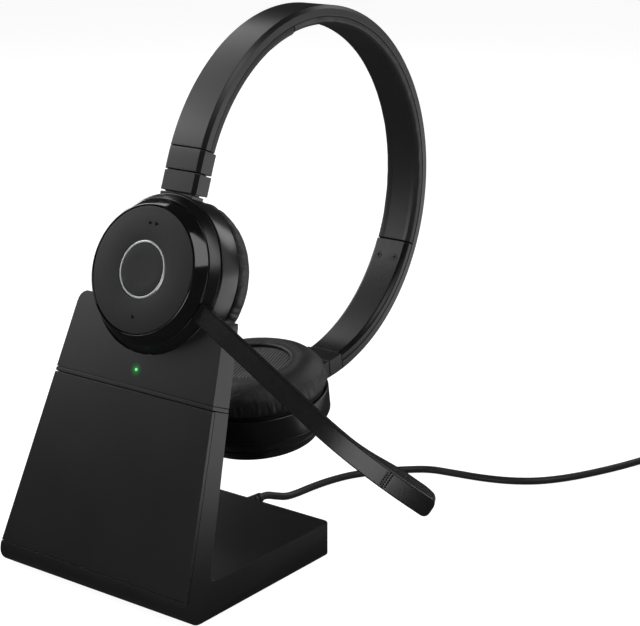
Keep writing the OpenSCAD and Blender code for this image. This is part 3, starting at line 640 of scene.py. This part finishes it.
def rounded_run(outline, start, end, pitch, edge, place):
    """Sections of an outline from start to end, drawn in at both ends by a rounded edge."""
    stops = []
    for k in range(4):
        t = math.radians(30 * k)
        stops.append((start + edge * (1 - math.cos(t)), edge * (1 - math.sin(t))))
    count = max(1, round((end - start - 2 * edge) / pitch))
    for k in range(1, count):
        stops.append((start + edge + (end - start - 2 * edge) * k / count, 0))
    for k in reversed(range(4)):
        t = math.radians(30 * k)
        stops.append((end - edge * (1 - math.cos(t)), edge * (1 - math.sin(t))))
    return [[place(p.x, p.y, at) for p in (inset(outline, draw) if draw > 0 else outline)]
            for at, draw in stops]


def along_band(r, x, s):
    """Point at radius r and s millimetres round the headband from its crown."""
    angle = max(-1.0, min(1.0, s / STRAIGHT_AT)) * math.radians(90 + SPLAY)
    past = s - angle * BAND_R
    return (x, r * math.sin(angle) + past * math.cos(angle),
            r * math.cos(angle) - past * math.sin(angle))


def strap(name, corners, start, end, finish, body, *stands_for, pitch=3.0, edge=0.3, count=4):
    sections = rounded_run(soften(corners, count), start, end, pitch, edge, along_band)
    thing = lofted(name, sections, BAND, finish, body, *stands_for)
    crisp(thing)
    return thing


def refined(node, finish, width=0.3, angle=32):
    """Gives a CAD node its finish and softens its sharp edges."""
    thing = frame["nodes"][node]
    thing.data.materials.clear()
    thing.data.materials.append(FINISHES[finish])
    for polygon in thing.data.polygons:
        polygon.use_smooth = True
    if width:
        add_modifier(thing, "WELD", merge_threshold=2e-6)
        add_modifier(thing, "DECIMATE", decimate_type="DISSOLVE", angle_limit=math.radians(0.6))
        add_modifier(thing, "BEVEL", width=width * MM, segments=3, limit_method="ANGLE",
                     angle_limit=math.radians(angle), use_clamp_overlap=True,
                     miter_outer="MITER_ARC", harden_normals=False)
        crisp(thing)
    return thing


# ------------------------------------------------------------------ stage

AZIMUTH = 37.21
ELEVATION = 16.14
LENS = 99.73
EYE = (0.4825, -0.5240, 0.3173)
CENTRE = (0, 0.03, 0.12)
# Name, place, what it faces, width, height and brightness of each light, in metres
SOFTBOXES = (
    ("near_box", (-0.47, -0.20, 0.38), CENTRE, 0.33, 0.34, 4.6),
    ("front_box", (0.13, -0.80, 0.16), (0.13, -0.02, 0.08), 0.52, 0.30, 3.4),
    ("right_box", (0.866, -0.02, 1.05), CENTRE, 0.5, 1.03, 3.2),
    ("rear_box", (0.95, 1.05, 0.25), CENTRE, 0.8, 0.7, 0.6),
    ("high_box", (0.23, 1.20, 0.70), CENTRE, 0.5, 0.66, 2.6),
    ("left_box", (-0.99, 0.12, 0.95), CENTRE, 1.3, 0.6, 2.6),
    ("low_box", (-1.25, 0.95, 0.06), CENTRE, 0.9, 0.24, 2.0),
    ("rear_card", (0.60, 0.58, 0.003), (0.60, 0.58, 1), 0.96, 0.96, 1.8),
)


def softbox(name, at, towards, width, height, shine):
    """A rectangular light whose face has the given brightness."""
    lamp = bpy.data.lights.new(name, "AREA")
    lamp.shape = "RECTANGLE"
    lamp.size, lamp.size_y = width, height
    lamp.energy = math.pi * width * height * shine
    thing = bpy.data.objects.new(name, lamp)
    thing.location = at
    thing.rotation_euler = (Vector(towards) - Vector(at)).to_track_quat("-Z", "Y").to_euler()
    thing.visible_camera = False
    bpy.context.scene.collection.objects.link(thing)


def backdrop(name, points, faces, colour, shine, glossy):
    """Part of the pale set round the object."""
    mesh = bpy.data.meshes.new(name)
    mesh.from_pydata(points, [], faces)
    f = Finish(name)
    cloud = f.noise(f.where(), 300, 3)
    f.set(Base_Color=f.blend(cloud, (colour,) * 3, (colour * 1.05,) * 3), Roughness=0.9,
          Specular_IOR_Level=0.2, Emission_Color=(1, 1, 1, 1), Emission_Strength=shine)
    mesh.materials.append(f.material)
    thing = bpy.data.objects.new(name, mesh)
    bpy.context.scene.collection.objects.link(thing)
    thing.visible_glossy = glossy
    return thing


def make_stage():
    scene = bpy.context.scene
    scene.view_settings.view_transform = "Standard"
    camera = bpy.data.cameras.new("camera")
    camera.lens = LENS
    camera.sensor_width = 36
    camera.clip_start, camera.clip_end = 0.02, 50
    eye = bpy.data.objects.new("camera", camera)
    a, e = math.radians(AZIMUTH), math.radians(ELEVATION)
    back = Vector((math.sin(a) * math.cos(e), -math.cos(a) * math.cos(e), math.sin(e)))
    eye.location = EYE
    eye.rotation_euler = (-back).to_track_quat("-Z", "Y").to_euler()
    scene.collection.objects.link(eye)
    scene.camera = eye

    half = 9.0
    backdrop("floor", [(-half, -half, 0), (half, -half, 0), (half, half, 0), (-half, half, 0)],
             [(0, 1, 2, 3)], 0.35, 0.93, False)
    dome = bmesh.new()
    bmesh.ops.create_uvsphere(dome, u_segments=48, v_segments=24, radius=half)
    points = [tuple(v.co) for v in dome.verts]
    faces = [tuple(v.index for v in face.verts) for face in dome.faces]
    dome.free()
    sky = backdrop("sky", points, faces, 0.5, 1.0, False)
    sky.visible_diffuse = sky.visible_shadow = sky.visible_transmission = False

    world = bpy.data.worlds.new("studio")
    scene.world = world
    world.use_nodes = True
    world.node_tree.nodes["Background"].inputs[0].default_value = (0.95, 0.95, 1, 1)
    world.node_tree.nodes["Background"].inputs[1].default_value = 0.04

    for name, at, towards, width, height, shine in SOFTBOXES:
        softbox(name, at, towards, width, height, shine)


# ------------------------------------------------------------------ cable

def smooth_way(points, count):
    """Points of a smooth curve through the given ones."""
    way = []
    last = len(points) - 1
    for i in range(last):
        a, b = points[max(i - 1, 0)], points[i]
        c, d = points[i + 1], points[min(i + 2, last)]
        for k in range(count):
            t = k / count
            way.append(0.5 * (2 * b + (c - a) * t + (2 * a - 5 * b + 4 * c - d) * t ** 2
                              + (3 * b - a - 3 * c + d) * t ** 3))
    way.append(points[last])
    return way


def eased(t):
    return t * t * (3 - 2 * t)


def swung(start, leave, end, arrive, count):
    """Points of one sweep from start to end, with the given ways of leaving and arriving."""
    way = []
    for k in range(count + 1):
        t = k / count
        way.append(start * (1 - eased(t)) + end * eased(t)
                   + leave * t * (1 - t) ** 2 - arrive * t * t * (1 - t))
    return way


def coil_way(centre, thick):
    """The spare cable, wound inwards in one layer and outwards in the next."""
    lower, upper = thick / 2, thick * 1.5
    radii = [COIL_R + (COIL_ROWS / 2 - 0.5 - k) * thick for k in range(COIL_ROWS)]
    # Each turn keeps its radius for part of its way and drifts to the next one in the rest
    keeps = 210
    legs = []
    for k in range(COIL_ROWS - 1):
        legs += [(360 * k, radii[k], lower), (360 * k + keeps, radii[k], lower)]
    top = 360 * (COIL_ROWS - 1)
    legs += [(top, radii[-1], lower), (top + 150, radii[-1], lower)]
    top += 270
    for k in range(COIL_ROWS - 1):
        start = top + 360 * k
        legs += [(start, radii[-1 - k], upper), (start + keeps, radii[-1 - k], upper)]
    top += 360 * (COIL_ROWS - 1)
    legs += [(top, radii[0], upper), (top + 220, radii[0], upper)]
    way = []
    pitch = 7.5
    for k in range(1, int(legs[-1][0] / pitch) + 1):
        at = k * pitch
        i = max(j for j in range(len(legs) - 1) if legs[j][0] <= at)
        (a, r0, z0), (b, r1, z1) = legs[i], legs[i + 1]
        t = eased(min(1, (at - a) / (b - a)))
        turn = math.radians(180 - at)
        r = r0 + (r1 - r0) * t
        way.append(centre + Vector((r * math.cos(turn), r * math.sin(turn), z0 + (z1 - z0) * t)))
    return way


def make_cord():
    thick = sizes().cord_thickness / MM
    low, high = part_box("cable_coil")
    centre = Vector(((low.x + high.x) / 2 / MM, (low.y + high.y) / 2 / MM, 0))
    start = Vector(CORD_EXIT)
    laid = [start] + [start + Vector((p[0], p[1], (p[2] if len(p) > 2 else thick / 2) - start.z))
                      for p in CORD_WAY]
    wound = coil_way(centre, thick)
    body_low, body_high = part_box("plug_body")
    entry = Vector(((body_low.x + body_high.x) / 2 / MM, body_high.y / MM, 3.8))
    lead = swung(wound[-1], (wound[-1] - wound[-2]).normalized() * 30, entry,
                 Vector((0, -34, 0)), 12)
    way = smooth_way(laid, 4)[:-1] + wound[:-1] + lead + [entry - Vector((0, 3, 0))]
    curve = bpy.data.curves.new("cord", "CURVE")
    curve.dimensions = "3D"
    curve.bevel_depth = thick / 2 * MM
    curve.bevel_resolution = 5
    curve.use_fill_caps = True
    line = curve.splines.new("POLY")
    line.points.add(len(way) - 1)
    for point, at in zip(line.points, way):
        point.co = (*(at * MM), 1)
    line.use_smooth = True
    curve.materials.append(FINISHES["cable_rubber"])
    cord = bpy.data.objects.new("cord", curve)
    bpy.context.scene.collection.objects.link(cord)
    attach(cord, "stand")
    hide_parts("cable", "cable_coil")
    length = sum((b - a).length for a, b in zip(way, way[1:])) * MM

    tie = make_tie(centre, thick)
    plug = refined("plug_body", "cable_rubber", 0.6)
    shell = refined("plug_shell", "plug_steel", 0.12)


def make_tie(centre, thick):
    """Hook-and-loop tape round the coil, its tail lying on top."""
    inner = COIL_R - (COIL_ROWS / 2) * thick
    outer = COIL_R + (COIL_ROWS / 2) * thick
    high = 2 * thick
    wall, wide = 0.8, 8.0
    loop = soften([(inner - 0.9, 0, 0.8), (outer + 0.9, 0, 0.8),
                   (outer + 0.9, high + 0.85, 1.6), (inner - 0.9, high + 0.85, 1.6)], 5)
    inside = inset(loop, wall)
    axes = Matrix.Translation(centre * MM) @ Matrix.Rotation(math.radians(60), 4, "Z")
    n = len(loop)
    points, faces = [], []
    for x in (-wide / 2, wide / 2):
        points += [(x, p.x, p.y) for p in loop] + [(x, p.x, max(0.02, p.y)) for p in inside]
    for i in range(n):
        j = (i + 1) % n
        faces += [(i, j, 2 * n + j, 2 * n + i), (n + i, 3 * n + i, 3 * n + j, n + j),
                  (i, n + i, n + j, j), (2 * n + i, 2 * n + j, 3 * n + j, 3 * n + i)]
    return piece("tie", points, faces, axes, "tie_fabric", "stand", "cable_tie")


# ------------------------------------------------------------------ ear cups

def make_shell(side, axes, body):
    turned(f"{side}_cup_shell", [
        (COLLAR_R, FRONT_WALL_D, 0.1), (FACE_R, FRONT_WALL_D, 0.1), (FACE_R, RING_D, 0),
        (CUP_R, RING_D, 0.55), (CUP_R, HOUSING_D, 0.7), (CUP_R - CUP_WALL, HOUSING_D, 0.1),
        (CUP_R - CUP_WALL, RING_D + CUP_WALL, 0.3), (COLLAR_R, RING_D + CUP_WALL, 0.1),
    ], axes, "cup_plastic", body, f"{side}_housing")
    turned(f"{side}_gloss_ring", [
        (FACE_R, 0.25, 0), (FACE_R + 0.2, 0, 0.12), (FACE_R + 0.55, 0.12, 0.4),
        (BEVEL_R, BEVEL_D - 0.45, 0.5), (BEVEL_R - 0.2, BEVEL_D, 0.1), (FACE_R, BEVEL_D, 0),
    ], axes, "cup_gloss", body, f"{side}_bevel", count=5)


def make_middle_ring(name, axes, body, node):
    turned(name, [
        (FACE_R + 0.1, BEVEL_D + RING_GAP, 0), (BEVEL_R + 0.1, BEVEL_D + RING_GAP, 0.25),
        (CUP_R - 0.55, RING_D - 0.7, 0.3), (CUP_R - 0.65, RING_D - RING_GAP, 0.2),
        (FACE_R + 0.1, RING_D - RING_GAP, 0),
    ], axes, "cup_plastic", body, node)


def make_controls():
    plate_r = FACE_R - 0.35
    ring_in = BUTTON_R + 0.1
    ring_out = ring_in + BRIGHT_W
    turned("rocker", [
        (ring_out, PLATE_D, 0.08), (plate_r, PLATE_D, 0.3), (plate_r, PLATE_BACK, 0),
        (ring_in, PLATE_BACK, 0), (ring_in, BRIGHT_BACK + 0.02, 0),
        (ring_out, BRIGHT_BACK + 0.02, 0),
    ], NEAR, "face_matte", "rocker", "rocker_plate")
    turned("bright_band", [
        (ring_in, 0.05, 0.12), (ring_out - 0.4, 0.05, 0.1), (ring_out, 0.3, 0.05),
        (ring_out, BRIGHT_BACK, 0), (ring_in, BRIGHT_BACK, 0),
    ], NEAR, "bright_metal", "rocker", "bright_ring")
    turned("button", [
        (0, 0.42, 0), (BUTTON_R * 0.55, 0.34, 3), (BUTTON_R, PLATE_D, 0.2),
        (BUTTON_R, 1.8, 0), (2, 1.8, 0), (2, 2.6, 0), (0, 2.6, 0),
    ], NEAR, "face_matte", "button", "call_button")
    # Skip marks: two arrowheads above the button and one below it
    for k, (x, z) in enumerate([(-0.85, 19.5), (2.6, 19.5), (0.6, -19.7)]):
        make_mark(f"mark_{k}", x, z)
    turned("far_cap_face", [
        (0, PLATE_D, 0), (plate_r, PLATE_D, 0.3), (plate_r, PLATE_BACK, 0),
        (FACE_R - 1, PLATE_BACK, 0), (FACE_R - 1, FRONT_WALL_D, 0),
        (COLLAR_R - 1, FRONT_WALL_D, 0), (COLLAR_R - 1, 1.8, 0), (0, 1.8, 0),
    ], FAR, "face_matte", "far_cup", "far_cap")


def make_mark(name, x, z):
    outline = soften([(-0.85, -0.95, 0.15), (0.95, 0, 0.15), (-0.85, 0.95, 0.15)], 3)
    outline = [p + Vector((x, z)) for p in outline]
    sections = [[(p.x, 0.3, p.y) for p in outline], [(p.x, 0.115, p.y) for p in outline],
                [(p.x, 0.09, p.y) for p in inset(outline, 0.06)]]
    lofted(name, sections, NEAR, "mark_paint", "rocker")


def make_back(side, axes, body):
    """Baffle that shows in the gap behind the cushion."""
    gap_r, hole_r, wall = CUP_R - 2.3, 15, 1.6
    turned(f"{side}_baffle_ring", [
        (hole_r, GAP_D - wall, 0), (gap_r - wall, GAP_D - wall, 0),
        (gap_r - wall, HOUSING_D - 2, 0), (CUP_R - CUP_WALL, HOUSING_D - 2, 0),
        (CUP_R - CUP_WALL, HOUSING_D - 0.4, 0.2), (gap_r, HOUSING_D, 0.3), (gap_r, GAP_D, 0.2),
        (hole_r, GAP_D, 0),
    ], axes, "baffle_plastic", body, f"{side}_baffle")


# ------------------------------------------------------------------ cushions

STEPS_OF_CLOTH = 20


def cushion_outline(slim):
    """Section of a cushion: from its foot over the dome and the lip, then back underneath."""
    top = GAP_D + CUSHION_T - slim
    reach = CUSHION_R - slim
    swell = GAP_D + 2.6
    outline = [(CUSHION_R - 1.7, GAP_D + 0.05), (CUSHION_R - 0.75, GAP_D + 0.5),
               (reach - 0.12, GAP_D + 1.5)]
    for k in range(17):
        a = math.radians(90 * k / 16)
        outline.append((CROWN_R + (reach - CROWN_R) * math.cos(a),
                        swell + (top - swell) * math.sin(a)))
    outline += [(EAR_R + 3.6, top - 0.08), (EAR_R + 2.2, top - 0.22), (EAR_R + 1.1, top - 0.45),
                (EAR_R + 0.4, top - 0.72), (EAR_R + 0.06, top - 1.05), (EAR_R + 0.05, top - 1.6),
                (EAR_R + 0.1, CLOTH_D - 0.2), (EAR_R + 0.6, CLOTH_D - 1.2),
                (EAR_R + 3.4, CLOTH_D - 1.4), (EAR_R + 4.2, GAP_D + 5), (EAR_R + 4.6, GAP_D + 0.05)]
    return outline


def inflate(thing, pinned, cap, pressure=4.0):
    """Blows a soft piece up by cloth simulation, moving no point further than cap."""
    group = thing.vertex_groups.new(name="pinned")
    for index, weight in pinned:
        group.add([index], weight, "REPLACE")
    cloth = thing.modifiers.new("cloth", "CLOTH")
    for key, value in {
            "quality": 6, "mass": 0.15, "tension_stiffness": 12, "compression_stiffness": 10,
            "shear_stiffness": 5, "bending_stiffness": 0.6, "use_pressure": True,
            "uniform_pressure_force": pressure, "shrink_min": -0.06,
            "vertex_group_mass": "pinned"}.items():
        setattr(cloth.settings, key, value)
    cloth.settings.effector_weights.gravity = 0
    cloth.collision_settings.use_collision = False
    cloth.point_cache.frame_start, cloth.point_cache.frame_end = 1, STEPS_OF_CLOTH
    scene = bpy.context.scene
    for number in range(1, STEPS_OF_CLOTH + 1):
        scene.frame_set(number)
    view = thing.evaluated_get(bpy.context.evaluated_depsgraph_get())
    moved = [v.co.copy() for v in view.data.vertices]
    thing.modifiers.remove(cloth)
    for vertex, there in zip(thing.data.vertices, moved):
        way = there - vertex.co
        if way.length > cap * MM:
            way = way.normalized() * cap * MM
        vertex.co = vertex.co + way
    scene.frame_set(1)
    thing.vertex_groups.clear()


def make_cushion(side, axes, body, seed):
    outline = cushion_outline(0.2)
    around, n = 288, len(outline)
    points = []
    for k in range(around):
        angle = 2 * math.pi * k / around
        points += [(r * math.sin(angle), d, r * math.cos(angle)) for r, d in outline]
    faces = [(k * n + i, k * n + i + 1, (k + 1) % around * n + i + 1, (k + 1) % around * n + i)
             for k in range(around) for i in range(n - 1)]
    faces += [(k * n + n - 1, k * n, (k + 1) % around * n, (k + 1) % around * n + n - 1)
              for k in range(around)]
    thing = piece(f"{side}_ear_cushion", points, faces, axes, "ear_leather", body,
                  f"{side}_cushion")
    pinned = []
    for vertex in thing.data.vertices:
        x, d, z = vertex.co / MM
        r = math.hypot(x, z)
        if d < GAP_D + 1.2 or r < EAR_R + 1.3 or (r < EAR_R + 5 and d < CLOTH_D):
            pinned.append((vertex.index, 1.0))
    inflate(thing, pinned, 0.5)
    pucker = sizes().pucker
    for vertex in thing.data.vertices:
        x, d, z = vertex.co / MM
        r = math.hypot(x, z)
        angle = math.atan2(x, z)
        turn = Vector((math.sin(angle), math.cos(angle), 0))
        # Folds run out from the opening and up from the foot, and fade over the crown
        lip = math.exp(-((r - EAR_R - 1.5) / 3.0) ** 2)
        foot = math.exp(-((d - GAP_D - 3.2) / 3.4) ** 2) * (1 if r > 26 else 0)
        near_folds = noise.noise(turn * 9.0 + Vector((seed, 0, d * 0.05)))
        fine_folds = noise.noise(turn * 14.0 + Vector((0, seed, d * 0.05)))
        creases = max(0, 1 - abs(fine_folds) / 0.16)
        wide_folds = noise.noise(turn * 3.0 + Vector((seed, d * 0.1, r * 0.1)))
        depth = lip * (near_folds + 0.6 * fine_folds) * pucker * 0.35
        depth += foot * (0.8 * fine_folds + 0.5 * near_folds - 1.2 * creases + 0.5) * pucker * 1.3
        depth += wide_folds * pucker * 0.5
        out = Vector((x / r * (r - CROWN_R), d - GAP_D - 2.4, z / r * (r - CROWN_R)))
        held = d < GAP_D + 0.6 or (r < EAR_R + 5 and d < CLOTH_D + 0.6)
        if out.length > 0.01 and not held:
            vertex.co = vertex.co + out.normalized() * depth
    add_modifier(thing, "SUBSURF", levels=1, render_levels=1)


def make_cloth(side, axes, body):
    """Speaker cloth over the opening, with real ribs, dipping a little to its middle."""
    reach, rings, around = EAR_R + 3.2, 64, 168
    pitch = sizes().rib / MM

    def height(x, z):
        r = math.hypot(x, z)
        rib = 0.16 * math.sin((x * RIB_X + z * RIB_Z) * 2 * math.pi / pitch)
        return CLOTH_D - 0.35 * (1 - (r / reach) ** 2) + rib * min(1, (reach - r) / 2) - 0.1

    points, faces = [(0, height(0, 0), 0)], []
    for i in range(1, rings + 1):
        r = reach * i / rings
        for k in range(around):
            angle = 2 * math.pi * k / around
            x, z = r * math.sin(angle), r * math.cos(angle)
            points.append((x, height(x, z), z))
    for k in range(around):
        j = (k + 1) % around
        faces.append((0, 1 + k, 1 + j))
        for i in range(rings - 1):
            a, b = 1 + i * around, 1 + (i + 1) * around
            faces.append((a + k, b + k, b + j, a + j))
    finish = "speaker_cloth" if side == "near" else "far_speaker_cloth"
    thing = piece(f"{side}_speaker_cloth", points, faces, axes, finish, body, f"{side}_cloth")
    add_modifier(thing, "SOLIDIFY", thickness=0.45 * MM, offset=-1)


# ------------------------------------------------------------------ boom

BEND_AT = 103.0
BEND_R = 100.0
BOOM_L = 159.0
BOOM_W = 8.0
BOOM_T = 3.4
MIC_T = 11.4
BEND_END = math.asin((BOOM_L - BEND_AT) / BEND_R)
# Sound holes: share of the bend at which they sit, and their sizes
HOLES_AT = 0.66
HOLE_R = 0.33
HOLE_DEEP = 2.2
HOLE_PITCH = 1.05
HOLE_ROW = 1.1


def boom_thick(a):
    rise = min(1, max(0, (a - 0.3 * BEND_END) / (0.45 * BEND_END)))
    return BOOM_T + (MIC_T - BOOM_T) * rise * rise * (3 - 2 * rise)


def boom_stop(s):
    """Outer point, inward direction, thickness and half width, s millimetres along the arm."""
    a = max(0.0, (s - BEND_AT) / BEND_R)
    if a == 0:
        at, inward = Vector((s, 0)), Vector((0, 1))
    else:
        at = Vector((BEND_AT + BEND_R * math.sin(a), BEND_R * (1 - math.cos(a))))
        inward = Vector((-math.sin(a), math.cos(a)))
    left = BEND_AT + BEND_R * BEND_END - s
    share = math.sqrt(1 - 0.7 * max(0, 1 - left / 8.5) ** 2)
    half = BOOM_W / 2 - 2.4 * (1 - math.sqrt(max(0, 1 - max(0, 1 - left / 2.4) ** 2)))
    return at, inward, boom_thick(a) * share, half


def boom_part(name, low, high, corner_low, corner_high, node):
    end = BEND_AT + BEND_R * BEND_END
    stops = [FACE_R + 1 + k * 4.0 for k in range(19)]
    stops += [BEND_AT + k * (end - 3 - BEND_AT) / 44 for k in range(45)]
    stops += [end - 3 + 3 * math.sin(math.radians(90 * k / 10)) for k in range(1, 11)]
    sections = []
    for s in stops:
        at, inward, thick, half = boom_stop(s)
        outline = soften([(low * thick, -half, corner_low), (high * thick, -half, corner_high),
                          (high * thick, half, corner_high), (low * thick, half, corner_low)], 5)
        if s > end - 0.4:
            outline = inset(outline, 0.3 * (1 - (end - s) / 0.4))
        sections.append([(*(at + inward * p.x), p.y) for p in outline])
    thing = lofted(name, sections, BOOM, "boom_plastic", "boom", node)
    return thing


def make_boom():
    make_middle_ring("boom_turn_ring", NEAR, "boom", "boom_ring")
    front = boom_part("boom_front", 0, 0.49, 0.7, 0.12, "boom_arm")
    back = boom_part("boom_back", 0.51, 1, 0.12, 1.5, "boom_cover")
    # Sound holes: three staggered rows over the microphone, drilled square to the face
    at, inward, _, _ = boom_stop(BEND_AT + BEND_R * HOLES_AT * BEND_END)
    along = Vector((inward.y, -inward.x))
    turn = Matrix.Rotation(math.atan2(-inward.x, inward.y), 4, "Z")
    turn = turn @ Matrix.Rotation(math.radians(90), 4, "X")
    drill = bmesh.new()
    for row in (-1, 0, 1):
        count = 7 if row == 0 else 6
        spot = at + along * (row * HOLE_ROW) + inward * 0.4
        for k in range(count):
            centre = Vector((*spot, (k - (count - 1) / 2) * HOLE_PITCH))
            cylinder(drill, HOLE_R, HOLE_DEEP, 14, Matrix.Translation(centre) @ turn)
    bmesh.ops.scale(drill, vec=(MM, MM, MM), verts=drill.verts)
    drilled(front, drill, BOOM)
    for thing in (front, back):
        crisp(thing)
    refined("boom_mic", "gold_contact", 0)


# ------------------------------------------------------------------ headband

def make_headband():
    h, chamfer = HALF_BAND, 1.5
    outer = [(BAND_R - chamfer, -h, 0.25), (BAND_R, -h + chamfer, 0.35),
             (BAND_R, h - chamfer, 0.35), (BAND_R - chamfer, h, 0.25)]
    strap("band_outer", [
        (SHELL_IN + 0.05, -h, 0.25), *outer, (SHELL_IN + 0.05, h, 0.25),
        (SHELL_IN + 0.05, h - 1.7, 0.1), (BAND_R - 2, h - 1.7, 0.2),
        (BAND_R - 2, 1.7 - h, 0.2), (SHELL_IN + 0.05, 1.7 - h, 0.1),
    ], -BAND_END, BAND_END, "band_plastic", "headband", "band_shell", pitch=2.2)
    g = h - 0.15
    r = LINING_IN
    lining = [(SHELL_IN - 0.15, -g, 0.2), (SHELL_IN - 0.15, g, 0.2), (r + 1.3, g, 1.4),
              (r, g - 1.8, 1.2), (r, 1.8 - g, 1.2), (r + 1.3, -g, 1.4)]
    cover_at = PAD_END + 0.35
    for side, start, end in (("near", -BAND_END, -cover_at), ("far", cover_at, BAND_END)):
        cover = strap(f"{side}_lining_end", lining, start, end, "band_inner", "headband",
                      f"{side}_end_cover", pitch=2.2)
        cover.modifiers.clear()
        bore_screws(cover)
        crisp(cover)
    make_pad(g, r)
    block = [(LINING_IN, -h, 0.5), *outer, (LINING_IN, h, 0.5)]
    straight = STRAIGHT_AT + ARM_TOP
    strap("near_collar_block", block, -(straight - COLLAR_FOOT), -BAND_END - 0.3,
          "band_plastic", "headband", "near_collar", pitch=1.5, edge=0.35)
    strap("far_collar_block", block, BAND_END + 0.3, straight - COLLAR_FOOT,
          "band_plastic", "headband", "far_collar", pitch=1.5, edge=0.35)
    for side in ("near", "far"):
        refined(f"{side}_slider", "band_plastic", 0.35)
        refined(f"{side}_strip", "spring_steel", 0)
        refined(f"{side}_pin", "screw_steel", 0)
    refined("band_spring", "spring_steel", 0)
    refined("band_screws", "screw_steel", 0.08)


def bore_screws(cover):
    """Stepped holes in which the screws sit."""
    drill = bmesh.new()
    for side in (-1, 1):
        for k in (-1, 1):
            place = Matrix.Rotation(-side * math.radians(SCREW_ANGLE), 4, "X") @ step(
                k * SCREW_X, 0, LINING_IN)
            for radius, depth, at in ((1.75, 1.5, 0.0), (0.95, 12, 4.0)):
                cylinder(drill, radius * MM, depth * MM, 40, place @ step(0, 0, at))
    drilled(cover, drill, BAND, use_self=True)


def make_pad(g, r):
    corners = [(SHELL_IN - 0.1, -g, 0.2), (SHELL_IN - 0.1, g, 0.2), (r + 1.5, g, 1.5),
               (r + 0.25, g - 1.9, 1.6), (r + 0.55, g - 4.2, 1.5), (r + 0.55, 4.2 - g, 1.5),
               (r + 0.25, 1.9 - g, 1.6), (r + 1.5, -g, 1.5)]
    pad = strap("band_cushion", corners, -PAD_END, PAD_END, "pad_rubber", "headband", "band_pad",
                pitch=2.6, edge=0.5, count=3)
    pad.modifiers.clear()
    held = [(v.index, 1.0) for v in pad.data.vertices
            if math.hypot(v.co.y, v.co.z) / MM > SHELL_IN - 1.2]
    inflate(pad, held, 0.25, 2.0)
    add_modifier(pad, "SUBSURF", levels=1, render_levels=1)


# ------------------------------------------------------------------ stand and the rest

def make_stand():
    refined("stand_shell", "stand_plastic", 0.45)
    refined("front_panel", "panel_gloss", 0.3)
    refined("stand_head", "stand_plastic", 0.45)
    refined("trim_band", "stand_plastic", 0.15)
    refined("base_plate", "base_plastic", 0.3)
    refined("rubber_feet", "foot_rubber", 0)
    refined("ballast", "ballast_steel", 0.4)
    refined("charge_board", "circuit_board", 0.1)
    refined("charge_pins", "gold_contact", 0.2)
    refined("base_screws", "screw_steel", 0.1)
    refined("strain_relief", "cable_rubber", 0.2)
    outline = [(0, 0.2, 0), (0.4, 0.15, 0.3), (0.62, -0.05, 0.1), (0.62, -2.3, 0), (1.6, -2.4, 0),
               (1.6, -3.4, 0.2), (0, -3.4, 0)]
    lens_axes = UPRIGHT @ step(0, 0, LIGHT_UP) @ Matrix.Rotation(math.pi, 4, "Z")
    turned("status_lens", outline, lens_axes, "light_lens", "stand", "status_light")


def make_cups():
    for side, axes, body in (("near", NEAR, "near_cup"), ("far", FAR, "far_cup")):
        make_shell(side, axes, body)
        make_back(side, axes, body)
        refined(f"{side}_driver", "driver_metal", 0)
        refined(f"{side}_neck", "cup_plastic", 0.3)
    make_controls()
    make_middle_ring("far_turn_ring", FAR, "far_cup", "far_ring")
    refined("switch_board", "circuit_board", 0)
    refined("battery", "battery_wrap", 0.6)
    refined("charge_pads", "gold_contact", 0)


def make_soft_parts():
    for seed, (side, axes, body) in enumerate(
            (("near", NEAR, "near_cup"), ("far", FAR, "far_cup"))):
        make_cushion(side, axes, body, 3.7 + 11.3 * seed)
        make_cloth(side, axes, body)


# ------------------------------------------------------------------ add-on

def stage_and_finishes():
    make_stage()
    FINISHES.update(make_finishes())


def operator(name, label, purpose, make):
    """An operator that runs one step of the build."""
    def execute(self, context):
        make()
        return {"FINISHED"}

    return type(f"HEADSET_OT_{name}", (bpy.types.Operator,), {
        "__doc__": purpose, "bl_idname": f"headset.{name}", "bl_label": label,
        "execute": execute})


STEPS = tuple(operator(*row) for row in (
    ("stage", "Stage and finishes",
     "Set up the camera, the floor and the studio lights, and mix the finishes",
     stage_and_finishes),
    ("cord", "Cable", "Lay the charging cable, its coil, its tie and its plug", make_cord),
    ("stand", "Charging stand", "Finish the charging stand and light its lamp", make_stand),
    ("cups", "Ear cups", "Turn the ear cups, their rings and their controls", make_cups),
    ("soft", "Cushions and cloths", "Sew the ear cushions and stretch the speaker cloths",
     make_soft_parts),
    ("boom", "Boom", "Make the boom arm with its microphone", make_boom),
    ("band", "Headband", "Make the headband, its pad and its sliders", make_headband),
))


class HEADSET_PT_panel(bpy.types.Panel):
    """Lists the steps and their settings"""
    bl_idname = "HEADSET_PT_panel"
    bl_label = "Office headset"
    bl_space_type = "VIEW_3D"
    bl_region_type = "UI"
    bl_category = "Headset"

    def draw(self, context):
        for group in (context.scene.headset_sizes, context.scene.headset_looks):
            for key in group.__annotations__:
                self.layout.prop(group, key)
        for each in STEPS:
            self.layout.operator(each.bl_idname)


CLASSES = (HeadsetSizes, HeadsetLooks, *STEPS, HEADSET_PT_panel)


def register():
    for cls in CLASSES:
        bpy.utils.register_class(cls)
    bpy.types.Scene.headset_sizes = PointerProperty(type=HeadsetSizes)
    bpy.types.Scene.headset_looks = PointerProperty(type=HeadsetLooks)


def unregister():
    del bpy.types.Scene.headset_looks
    del bpy.types.Scene.headset_sizes
    for cls in reversed(CLASSES):
        bpy.utils.unregister_class(cls)


def main():
    register()
    for each in STEPS:
        group, name = each.bl_idname.split(".")
        getattr(getattr(bpy.ops, group), name)()
    settle()


if __name__ == "__main__":
    main()
